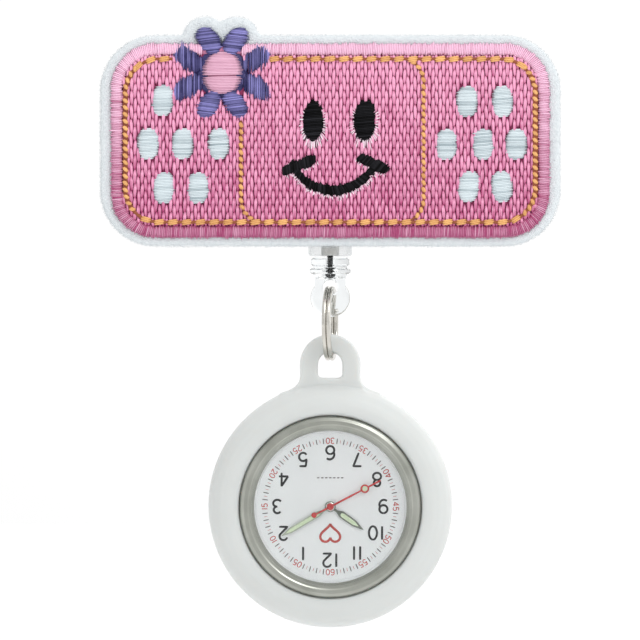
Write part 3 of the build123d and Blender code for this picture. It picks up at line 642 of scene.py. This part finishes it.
def satin_oval(cx, cz, a, b, angle, base, rise, pitch, slant, jitter, power=2.2, split=None):
    """Threads across an oval, laid at right angles to its long axis b.

    split is the height, from -1 to 1, of a furrow between two threads."""
    paths = []
    u, v = np.array([cos(angle), sin(angle)]), np.array([-sin(angle), cos(angle)])
    count = max(int(2 * b / pitch), 3)
    for k in range(count):
        t = -1 + 2 * (k + 0.5) / count
        half = a * (1 - abs(t) ** power) ** (1 / power) + rng.normal(0, jitter)
        if half < 0.15 or split is not None and abs(t - split) < 1.1 / count:
            continue
        swell = rise * (1 - abs(t) ** 2.4) ** 0.5
        if split is not None:
            swell -= 0.12 * np.exp(-((t - split) / 0.08) ** 2)
        middle = np.array([cx, cz]) + u * rng.normal(0, jitter * 0.6) + v * t * b
        reach = u * half + v * slant * half
        paths.append(arc_path(middle - reach, middle + reach, base, max(swell, 0.08), 8, 0.45))
    return paths


def dome(name, cx, cz, a, b, angle, base, rise):
    """A low padded mound under satin stitches."""
    rings = []
    for tilt in np.linspace(0, pi / 2, 7):
        spots = [(a * cos(tilt) * cos(turn), b * cos(tilt) * sin(turn)) for turn in full_turn(28)]
        rings.append([(cx + x * cos(angle) - z * sin(angle), base - rise * sin(tilt),
                       cz + x * sin(angle) + z * cos(angle)) for x, z in spots])
    obj = loft(name, rings)
    tidy(obj, 1e-6)
    return obj


def fringe(name, paths):
    """Threads that the black satin lifts along its edge, paler pink as a painted highlight where
    they catch the light.
    """
    edge = strands(name, paths, 0.17, 0.14, 5, rng.uniform(0.1, 1.0, len(paths)), tip=0.2)
    place(edge, PINK_PAINTED_HIGHLIGHT, "reel", "thread_pink")


def make_dots():
    white, mounds = [], []
    for cx, height in DOTS:
        cz = FOOT + height
        white += satin_oval(cx, cz, 2.02, 2.72, radians(rng.uniform(-6, 3)), GROUND - 0.16, 0.52,
                            0.27, 0.06, 0.07, 2.9)
        mounds.append(dome("dot_mound", cx, cz, 1.65, 2.45, 0, GROUND + 0.02, 0.52))
    # Painted shade on the thread ends and flanks.
    dots = strands("white_satin_dots", white, 0.30, 0.28, 6, rng.beta(2.4, 1.0, len(white)),
                   painted_end_shade=0.35, under=0.25)
    place(dots, WHITE_THREAD, "reel", "thread_white", "white_dots")
    place(join("white_dot_padding", mounds), WHITE_THREAD, "reel", "thread_white")


def make_eyes():
    black, mounds, lifted = [], [], []
    for cx, height, w, h in EYES:
        cz = FOOT + height
        black += satin_oval(cx, cz, w / 2, h / 2, radians(-2), GROUND - 0.14, 0.5, 0.27, 0.12, 0.13)
        mounds.append(dome("eye_mound", cx, cz, w / 2 - 0.4, h / 2 - 0.4, 0, GROUND, 0.5))
        for a in full_turn(84) + rng.normal(0, 0.05, 84):
            if sin(a) > 0.55:
                continue
            near, far = 0.78, 1.16 - 0.13 * sin(a) + rng.normal(0, 0.11)
            lifted.append(arc_path((cx + near * w / 2 * cos(a), cz + near * h / 2 * sin(a)),
                                   (cx + far * w / 2 * cos(a), cz + (far - 0.03) * h / 2 * sin(a)),
                                   GROUND - 0.26, 0.22, 5))
    # Painted shade on the threads' flanks.
    eyes = strands("satin_eyes", black, 0.30, 0.28, 6, rng.beta(1.0, 2.4, len(black)), under=0.3)
    place(eyes, BLACK_THREAD, "reel", "thread_black", "face_eyes")
    place(join("eye_padding", mounds), BLACK_THREAD, "reel", "thread_black")
    fringe("eye_edge_threads", lifted)


def make_mouth():
    """A smile and two cheek ticks in slanted satin."""
    paths, lifted, heavy = [], [], 1.08
    cx, cz, r = 0.55, FOOT + 18.75, 9.0
    for a in np.linspace(radians(207), radians(333), 74):
        width = heavy * (1 - 0.35 * abs(a - radians(270)) / radians(63))
        spread = np.array([cos(a), sin(a)])
        middle = np.array([cx + r * 0.93 * cos(a), cz + r * sin(a)])
        lean = np.array([-spread[1], spread[0]]) * 0.25
        inner = middle - spread * (width + rng.normal(0, 0.1)) - lean
        outer = middle + spread * (width + rng.normal(0.05, 0.15)) + lean
        paths.append(arc_path(inner, outer, GROUND - 0.16, 0.50, 8, 0.45))
        for _ in range(2):
            tip = outer + spread * rng.uniform(0.1, 0.85) + lean * rng.normal(0, 0.8)
            lifted.append(arc_path(outer - spread * 0.5, tip, GROUND - 0.26, 0.22, 5))
    for start, end in (((-8.4, 13.0), (-2.5, 15.3)), ((4.9, 15.7), (10.1, 13.1))):
        start, end = np.array(start), np.array(end)
        run = end - start
        across = np.array([-run[1], run[0]]) / np.linalg.norm(run)
        for t in np.linspace(0.03, 0.97, 26):
            half = heavy * (1 - (2 * t - 1) ** 4 * 0.4) + rng.normal(0, 0.12)
            middle = start + run * t + np.array([0, FOOT])
            lean = run / np.linalg.norm(run) * 0.25
            paths.append(arc_path(middle - across * half - lean, middle + across * half + lean,
                                  GROUND - 0.27, 0.50, 8, 0.45))
            foot = middle - across * half * 0.7 + lean * rng.normal(0, 0.5)
            toe = foot - across * rng.uniform(0.45, 1.0)
            lifted.append(arc_path(foot, toe, GROUND - 0.26, 0.2, 5))
    # Painted shade on the threads' flanks.
    mouth = strands("satin_mouth", paths, 0.32, 0.28, 6, rng.beta(1.0, 2.4, len(paths)), under=0.3)
    place(mouth, BLACK_THREAD, "reel", "thread_black", "face_mouth")
    fringe("mouth_edge_threads", lifted)


def make_flower():
    """Eight satin petals, the side ones larger, round a padded centre."""
    purple, mounds, tones = [], [], []
    for k in range(8):
        a = radians(22.5 + 45 * k)
        side = abs(cos(a)) > 0.7
        reach = 6.5 if side else 6.0
        cx, cz = FLOWER[0] + reach * cos(a), FLOWER[1] + reach * sin(a)
        slant = (0.42 if side else 0.28) * (1 if k % 2 else -1)
        petal = satin_oval(cx, cz, 2.25 if side else 2.1, 2.75 if side else 2.6, a - pi / 2,
                           GROUND + 0.08, 0.95, 0.2, slant, 0.22 if side else 0.13)
        purple += petal
        tones += list((0.0 if side else 0.14) + 0.9 * rng.beta(0.75, 1.3, len(petal)))
        mounds.append(dome("petal_mound", cx, cz, 1.8, 2.35, a - pi / 2, GROUND + 0.35, 1.1))
    mounds.append(dome("petal_mound", *FLOWER, 4.9, 4.9, 0, GROUND + 0.35, 0.95))
    # Painted shade on the thread ends and flanks.
    petals = strands("satin_petals", purple, 0.24, 0.26, 6, tones, painted_end_shade=0.45, under=0.6)
    place(petals, PURPLE, "reel", "thread_purple", "flower_petals")
    place(join("petal_padding", mounds), PURPLE, "reel", "thread_purple")
    centre = satin_oval(*FLOWER, 3.65, 3.65, 0, GROUND - 0.18, 0.84, 0.27, 0.02, 0.05, split=-0.12)
    # Painted shade on the thread ends and flanks.
    disc = strands("satin_flower_centre", centre, 0.29, 0.26, 6,
                   rng.uniform(0.6, 0.95, len(centre)), painted_end_shade=0.3, under=0.3)
    place(disc, CENTRE_PINK, "reel", "thread_pink", "flower_centre")
    place(dome("flower_centre_padding", *FLOWER, 3.4, 3.5, 0, GROUND + 0.3, 1.15), CENTRE_PINK,
          "reel", "thread_pink")


def running_line(line, kept, length, gap, tall, tilt, paths, tones):
    """Bundles of three threads laid end to end along the kept points of a frame's line."""
    points, normals, ahead = (part[kept] for part in line)
    step = np.linalg.norm(points[1] - points[0])
    every = max(int(round((length + gap) / step)), 1)
    for p, n, t in zip(points[::every], normals[::every], ahead[::every]):
        if in_oval(*p, *FLOWER, 9.0, 9.0):
            continue
        tone = rng.uniform(0.55, 0.85)
        for j in (-1, 0, 1):
            middle = p + n * j * tall * 0.3
            reach = t * (length / 2 - 0.1 * abs(j)) + n * tilt
            paths.append(arc_path(middle - reach, middle + reach, GROUND - 0.3,
                                  0.42 - 0.05 * abs(j), 8, 0.4))
            tones.append(tone + rng.normal(0, 0.06))


def make_understitch():
    """The dark thread that shows between the orange stitches."""
    around, edge = 8.8, 34.2
    points = rounded_frame(*OUTLINE_FRAME, 0.5)[0]
    clear = [p for p in [*points, points[0]] if not in_oval(*p, *FLOWER, around, around)]
    first = next(k for k in range(len(clear)) if np.hypot(*(clear[k - 1] - clear[k])) > 2)
    field = clear[first:] + clear[:first]
    lines = [(field, 0.62)]
    points, normals, _ = rounded_frame(*PAD_FRAME, 0.5)
    for hand in (-1, 1):
        run = [p for p, n in zip(points, normals)
               if n[0] * hand > 0.3 and not in_oval(*p, *FLOWER, around, around)]
        lines.append((sorted(run, key=lambda p: p[1]), 0.5))
    lines += [([p for p in field if p[0] * hand > edge], 0.95) for hand in (-1, 1)]
    parts = [strands("understitch", [[(x, GROUND - 0.44, z) for x, z in line]], wide, 0.24, 8,
                     tip=0.9) for line, wide in lines]
    place(join("brown_understitch", parts), BROWN_THREAD, "reel", "thread_orange")


def make_outline():
    """Orange running stitch round the field and round the centre pad."""
    paths, tones = [], []
    field, pad = rounded_frame(*OUTLINE_FRAME, 0.1), rounded_frame(*PAD_FRAME, 0.1)
    level = np.abs(field[1][:, 1]) > 0.75
    running_line(field, level, 2.0, 0.42, 1.0, 0.12, paths, tones)
    running_line(field, ~level, 0.92, 0.30, 0.62, 0.26, paths, tones)
    running_line(pad, np.abs(pad[1][:, 1]) < 0.85, 1.0, 0.25, 0.55, 0.16, paths, tones)
    make_understitch()
    # Painted shade on the thread ends and flanks.
    outline = strands("orange_running_stitch", paths, 0.36, 0.30, 6, tones, painted_end_shade=0.4, under=0.5)
    place(outline, ORANGE, "reel", "thread_orange", "outline_stitching")


# Cord, ring and jacket.

def moving_frame(along):
    """Two directions at right angles to each of a line's own, twisting as little as they can."""
    normal, pairs = np.cross(along[0], (0.3, 1, 0.2)), []
    for t in along:
        normal = normal - t * np.dot(normal, t)
        normal /= np.linalg.norm(normal)
        pairs.append((normal, np.cross(t, normal)))
    return pairs


def tube_mesh(name, points, radius, sides, closed=False):
    """A round tube through points in millimetres."""
    points = np.asarray(points, float)
    if closed:
        along = np.roll(points, -1, axis=0) - np.roll(points, 1, axis=0)
    else:
        along = np.gradient(points, axis=0)
    along /= np.linalg.norm(along, axis=1, keepdims=True)
    angles = full_turn(sides)
    rings = [[p + radius * (cos(a) * u + sin(a) * v) for a in angles]
             for p, (u, v) in zip(points, moving_frame(along))]
    return loft(name, rings, closed)


def braid(name, points, radius, yarn, lays, pitch):
    """Braided cord: yarns wound both ways round a core."""
    points = np.asarray(points, float)
    run = run_along(points)
    at = np.linspace(0, run[-1], max(int(run[-1] / 0.08), 12))
    line = sample(points, run, at)
    along = np.gradient(line, axis=0)
    along /= np.linalg.norm(along, axis=1, keepdims=True)
    pairs = moving_frame(along)
    parts = [tube_mesh(name + "_core", line, radius * 0.82, 10)]
    for hand in (1, -1):
        for k in range(lays):
            path = []
            for p, s, (u, v) in zip(line, at, pairs):
                a = hand * 2 * pi * s / pitch + 2 * pi * k / lays
                r = radius - yarn / 2 + 0.25 * yarn * sin(lays * a * hand)
                path.append(p + r * (cos(a) * u + sin(a) * v))
            parts.append(tube_mesh(name + "_strand", path, yarn / 2, 5))
    return join(name, parts)


def make_cord():
    """The short cord between the reel and the fitting, and its knotted end."""
    stub = braid("cord_at_outlet", [(0, SLIDE_Y, z) for z in np.linspace(-2.9, -5.5, 20)], 0.5,
                 0.22, 4, 1.6)
    place(stub, CORD, "reel", "cord_black", "cord_stub")
    stub.parent = None
    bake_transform(stub)
    turns, knot_z, loop = 1.35, -6.32, []
    for s in np.linspace(0, 1, 60):
        a = 2 * pi * turns * s + radians(100)
        loop.append((0.06 + 0.53 * cos(a), SLIDE_Y - 0.30 + 0.6 * s, knot_z + 0.50 * sin(a)))
    knot = braid("cord_end_knot", loop, 0.39, 0.18, 4, 1.3)
    place(knot, CORD, "cord_end", "cord_black", "cord_knot")


def make_split_ring():
    """Two flat-sided turns of wire with a step where one becomes the other."""
    turns, radius, apart, rings = 1.94, 5.88, 0.75, []
    quarter = [(0.70, 0.16), (0.55, 0.34), (0.2, 0.37)]
    half = quarter + [(-dr, dx) for dr, dx in quarter[::-1]]
    section = half + [(-dr, -dx) for dr, dx in half]
    lean, middle = Matrix.Rotation(radians(-7), 3, "Z"), Vector((0, SLIDE_Y, RING_Z))
    for s in np.linspace(0, 1, 301):
        a = radians(45) + 2 * pi * turns * s
        jog = np.clip((s - 0.46) / 0.08, 0, 1)
        side = apart * (jog * jog * (3 - 2 * jog) - 0.5)
        rings.append([lean @ Vector((side + dx, (radius + dr) * cos(a), (radius + dr) * sin(a)))
                      + middle for dr, dx in section])
    ring = loft("split_ring_wire", rings)
    place(ring, NICKEL, "ring", "nickel", "split_ring")


def make_jacket():
    """Moulded silicone jacket: a soft ring with a hanging loop."""
    r, back, front = 21.5, -2.0, -12.5
    lip, shoulder, bore, well = 16.03, -10.98, 14.5, -3.58
    profile = [(0.01, back), (r - 3.6, back), (r - 2.3, back - 0.25), (r - 1.1, back - 0.95),
               (r - 0.35, back - 2.0), (r, back - 3.6), (r + 0.02, front + 4.6),
               (r - 0.3, front + 2.9), (r - 1.0, front + 1.6), (r - 2.1, front + 0.6),
               (r - 3.4, front + 0.1), (r - 4.4, front), (lip + 0.22, front), (lip, front + 0.35),
               (lip, shoulder), (bore, shoulder), (bore, well), (0.01, well)]
    bowl = lathe("jacket_bowl", profile, (0, HEAD_Z), 160)
    tab_z, tab_radius, hole_radius, hole_foot = -22.45, 5.35, 2.15, -24.8
    neck = [(tab_radius * cos(a), tab_z + tab_radius * sin(a)) for a in np.linspace(0, pi, 40)]
    flare = [(5.3, -24.6), (5.45, -25.4), (5.95, -26.2), (7.0, -26.9), (8.8, -27.5), (9.6, -29.4)]
    neck += [(-x, z) for x, z in flare] + flare[::-1]
    tab = prism("jacket_tab", neck, SLIDE_Y + 1.5, SLIDE_Y - 1.5)
    root = prism("jacket_root", [(-5.9, -26.7), (5.9, -26.7), (8.2, -29.4), (-8.2, -29.4)],
                 SLIDE_Y + 2.9, SLIDE_Y - 2.9)
    hole = [(hole_radius * cos(a), tab_z + hole_radius * sin(a)) for a in np.linspace(0, pi, 24)]
    hole += [(-hole_radius, hole_foot + 0.3), (0.3 - hole_radius, hole_foot),
             (hole_radius - 0.3, hole_foot), (hole_radius, hole_foot + 0.3)]
    cut_away(tab, prism("jacket_hole", hole, 0, -20))
    jacket = join("silicone_jacket_skin", [bowl, tab, root])
    melt(jacket, 0.30, 6)
    inner, low, high = -13, HEAD_Z - 1.9, HEAD_Z + 1.9
    for outer, near in ((-15.98, -11.2), (-17.0, -9.8)):
        crown_room = [(outer, low), (inner, low), (inner, high), (outer, high)]
        cut_away(jacket, prism("crown_room", crown_room, -6.2, near))
    place(jacket, SILICONE, "jacket", "silicone_white", "silicone_jacket")


# Watch dial: its prints lie just in front of the enamel.

PRINT_Y, MARK_Y = -10.315, -10.31


def oval_arc(cx, cy, a, b, start, end, count=20):
    return [(cx + a * cos(radians(t)), cy + b * sin(radians(t)))
            for t in np.linspace(start, end, count)]


DIGITS = {
    "0": [oval_arc(0, 0.5, 0.30, 0.5, 90, 450, 32)],
    "1": [[(0, 0), (0, 1)]],
    "2": [oval_arc(0, 0.71, 0.29, 0.29, 165, -35, 16) + [(-0.3, 0.0), (0.32, 0.0)]],
    "3": [oval_arc(-0.02, 0.75, 0.27, 0.25, 150, -90, 14), oval_arc(-0.02, 0.26, 0.31, 0.26, 90,
                                                                    -150, 16)],
    "4": [[(0.14, 0), (0.14, 1), (-0.34, 0.27), (0.34, 0.27)]],
    "5": [[(0.27, 1.0), (-0.2, 1.0), (-0.26, 0.5)] + oval_arc(0, 0.31, 0.30, 0.31, 140, -150, 18)],
    "6": [oval_arc(0, 0.30, 0.30, 0.30, 90, 450, 26), oval_arc(0.04, 0.62, 0.34, 0.38, 205, 50, 14)],
    "7": [[(-0.3, 1.0), (0.3, 1.0), (-0.1, 0.0)]],
    "8": [oval_arc(0, 0.76, 0.24, 0.24, -90, 270, 24), oval_arc(0, 0.27, 0.30, 0.27, 90, 450, 26)],
    "9": [oval_arc(0, 0.70, 0.30, 0.30, 90, 450, 26), oval_arc(-0.04, 0.38, 0.34, 0.38, 25, -130,
                                                               14)],
}


def on_dial(x, z, depth=PRINT_Y):
    return np.stack([x, np.full(len(x), depth), z + HEAD_Z], axis=1)


def mark(angle, inner, outer):
    """A short line along the dial's radius."""
    reach = np.linspace(inner, outer, 4)
    return on_dial(reach * cos(angle), reach * sin(angle), MARK_Y)


def write_number(text, reach, angle, tall, turn, gap, paths):
    """Strokes of a number on the dial; turn is the direction of its top, in radians."""
    centre = reach * np.array([cos(angle), sin(angle)])
    advance = [0.34 if c == "1" else 0.78 for c in text]
    total = sum(advance) + gap * (len(text) - 1)
    x = -total / 2
    up, right = np.array([cos(turn), sin(turn)]), np.array([sin(turn), -cos(turn)])
    for c, wide in zip(text, advance):
        for stroke in DIGITS[c]:
            stroke = np.asarray(stroke, float)
            run = run_along(stroke)
            line = sample(stroke, run, np.linspace(0, run[-1], 40))
            flat = np.outer(line[:, 0] + x + wide / 2, right) + np.outer(line[:, 1] - 0.5, up)
            paths.append(on_dial(*(centre + flat * tall).T))
        x += wide + gap


def make_dial_print():
    """Numbers and minute marks for a dial worn upside down: 12 is at the bottom."""
    hours, minutes, ticks, down = [], [], [], -pi / 2
    spots = {12: 9.45, 1: 9.55, 2: 9.5, 3: 9.35, 4: 9.5, 5: 9.55, 6: 9.45, 7: 9.55, 8: 9.5, 9: 9.35,
             10: 9.3, 11: 9.45}
    for hour, reach in spots.items():
        a = down - 2 * pi * hour / 12
        write_number(str(hour), reach, a, 2.35, down, 0.12, hours)
    for minute in range(1, 61):
        a = down - 2 * pi * minute / 60
        if minute % 5:
            ticks.append(mark(a, 11.05, 12.0))
        else:
            top = a + pi if 20 <= minute <= 40 else a
            write_number(f"{minute:02d}", 11.55, a, 0.98, top, 0.06, minutes)
    small = [mark(down - 2 * pi * (k + 0.5) / 60, 11.2, 11.8) for k in range(60)
             if k % 5 not in (0, 4)]
    for name, paths, width, colour, slot in (
            ("hour_numerals", hours, 0.38, INK_BLACK, "hand_dark"),
            ("minute_numerals", minutes, 0.15, INK_RED, "hand_red"),
            ("minute_marks", ticks, 0.17, INK_GREY, "hand_dark"),
            ("half_minute_marks", small, 0.07, INK_RED, "hand_red")):
        place(strands(name, paths, width, 0.03, 6, tip=0.8), colour, "head", slot)


def make_dial_ornament():
    """A plain heart outline and a short ruled bar, in place of any mark."""
    t, half_width, heart_z, bar_z = np.linspace(0, 2 * pi, 60), 1.75, -4.9, 5.05
    x = np.sin(t) ** 3 * half_width
    z = (13 * np.cos(t) - 5 * np.cos(2 * t) - 2 * np.cos(3 * t) - np.cos(4 * t)) / 16 * half_width
    heart = on_dial(-x, heart_z - z)
    place(strands("heart_outline", [heart], 0.42, 0.03, 6, tip=0.9), INK_RED, "head", "hand_red")
    bars = [on_dial(dx + np.linspace(-0.22, 0.22, 4), np.full(4, bar_z))
            for dx in np.linspace(-2.1, 2.1, 7)]
    place(strands("dash_ornament", bars, 0.2, 0.03, 6, tip=0.8), INK_GREY, "head", "hand_dark")


def make_hand_trim():
    """Luminous fill in the second hand's ring, and turned caps on the hubs."""
    a, ring_reach, tail_reach = radians(27.5), 6.85, -3.2
    way, middle = np.array([cos(a), 0, sin(a)]), np.array([0, -11.15, HEAD_Z])
    ring, tail = ((r * cos(a), HEAD_Z + r * sin(a)) for r in (ring_reach, tail_reach))
    parts = []
    for low, high, wide in ((tail_reach, 6.2, 0.34), (7.45, 10.0, 0.32)):
        shaft = [middle + way * t for t in np.linspace(low, high, 6)]
        parts.append(strands("hand_shaft", [shaft], wide, 0.1, 8, tip=0.8))
    parts.append(lathe("hand_ring", [(0.48, -11.1), (0.76, -11.1), (0.76, -11.18), (0.7, -11.2),
                                     (0.54, -11.2), (0.48, -11.18)], ring, 48))
    parts.append(lathe("hand_tail", [(0.001, -11.1), (0.48, -11.1), (0.48, -11.18), (0.4, -11.2),
                                     (0.001, -11.2)], tail, 32))
    parts.append(lathe("hand_cap", [(0.001, -11.08), (0.62, -11.08), (0.62, -11.24), (0.5, -11.31),
                                    (0.2, -11.33), (0.001, -11.335)], (0, HEAD_Z), 40))
    hand = join("second_hand_lacquered", parts)
    place(hand, HAND_RED, "seconds", "hand_red", "second_hand")
    fill = lathe("second_hand_fill", [(0.001, -11.13), (0.47, -11.13), (0.47, -11.19),
                                      (0.3, -11.22), (0.001, -11.23)], ring, 32)
    place(fill, LUME, "seconds", "lume")
    boss = lathe("minute_hub_cap", [(0.15, -10.96), (0.80, -10.96), (0.80, -11.0), (0.6, -11.05),
                                    (0.15, -11.06)], (0, HEAD_Z), 40)
    place(boss, STEEL, "minutes", "case_steel")


# Clip spring.

COIL_TURNS, PIN_Y, PIN_Z = 5.375, 2.7, 18.0


def coil_points(first, last):
    """The torsion coil round the clip's pin, from one turn number to another."""
    pitch, radius = 0.62, 1.1
    points = []
    for t in np.linspace(first, last, max(int((last - first) * 40), 4)):
        a = 2 * pi * t
        y = -0.85 * cos(a) + 0.53 * sin(a)
        z = -0.53 * cos(a) - 0.85 * sin(a)
        points.append((pitch * (t - COIL_TURNS / 2), PIN_Y + radius * y, PIN_Z + radius * z))
    return points


def make_clip_spring():
    """Two lengths that overlap in the coil: one stays on the clip, one turns with the lever."""
    coil = coil_points(0, 5.0)
    base = [tuple(p) for p in np.linspace((coil[0][0], -1.5, 22.6), coil[0], 12)[:-1]]
    clip_side = tube_mesh("clip_spring_coil", base + coil, 0.25, 14)
    place(clip_side, SPRING, "clip", "spring_steel", "clip_spring")
    coil = coil_points(4.9, COIL_TURNS)
    leg = [tuple(p) for p in np.linspace(coil[-1], (coil[-1][0], 5.2, 24.0), 14)[1:]]
    lever_side = tube_mesh("clip_spring_lever_leg", coil + leg, 0.249, 14)
    place(lever_side, SPRING, "lever", "spring_steel")


# What keeps its CAD shape: the clip, the reel's insides, the case and the movement.

FINISHES = {
    NICKEL: ["clip_base", "clip_lever", "clip_pin", "swivel_rivet", "outlet_bush"],
    SPRING: ["mainspring"],
    CLEAR: ["reel_back_shell", "reel_front_shell"],
    FITTING: ["cord_end_fitting"],
    MOULDED: ["spool", "swivel_washer", "movement_holder", "fifth_wheel"],
    CORD: ["cord_lead"],
    FOAM: ["adhesive_pad"],
    BRUSHED: ["bezel"],
    STEEL: ["case_middle", "case_back", "crown", "crown_tube", "battery", "quartz_can",
            "winding_stem", "movement_screws", "battery_clamp", "stator", "rotor"],
    GLASS: ["crystal"],
    DIAL_WHITE: ["dial", "rehaut_ring"],
    GASKET: ["back_gasket"],
    BRASS: ["main_plate", "train_bridge", "fourth_wheel", "third_wheel", "centre_wheel",
            "minute_wheel", "hour_wheel"],
    COPPER: ["coil"],
    BOARD: ["circuit_board"],
    HAND_DARK: ["hour_hand"],
    HAND_PALE: ["minute_hand"],
    LUME: ["hour_hand_lume", "minute_hand_lume"],
}


def finish_cad_nodes():
    for material, names in FINISHES.items():
        for name in names:
            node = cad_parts[name]
            node.data.materials.clear()
            node.data.materials.append(material)


def make_wound_cord():
    """Cord wound on the drum in three nested layers."""
    parts = []
    for radius, turns, first in ((9.2, 4, -6.5), (8.5, 3, -6.9), (7.8, 4, -6.5)):
        for k in range(turns):
            path = [(radius * cos(a), first - 0.8 * k + 0.04 * sin(a), REEL_Z + radius * sin(a))
                    for a in full_turn(72)]
            parts.append(tube_mesh("turn", path, 0.4, 8, True))
    place(join("wound_cord_turns", parts), CORD, "spool_body", "cord_black", "wound_cord")


make_camera()
make_stage()
finish_cad_nodes()
make_felt()
make_ground()
make_fill()
make_border()
make_dots()
make_eyes()
make_mouth()
make_flower()
make_outline()
make_cord()
make_wound_cord()
make_clip_spring()
make_split_ring()
make_jacket()
make_dial_print()
make_dial_ornament()
make_hand_trim()
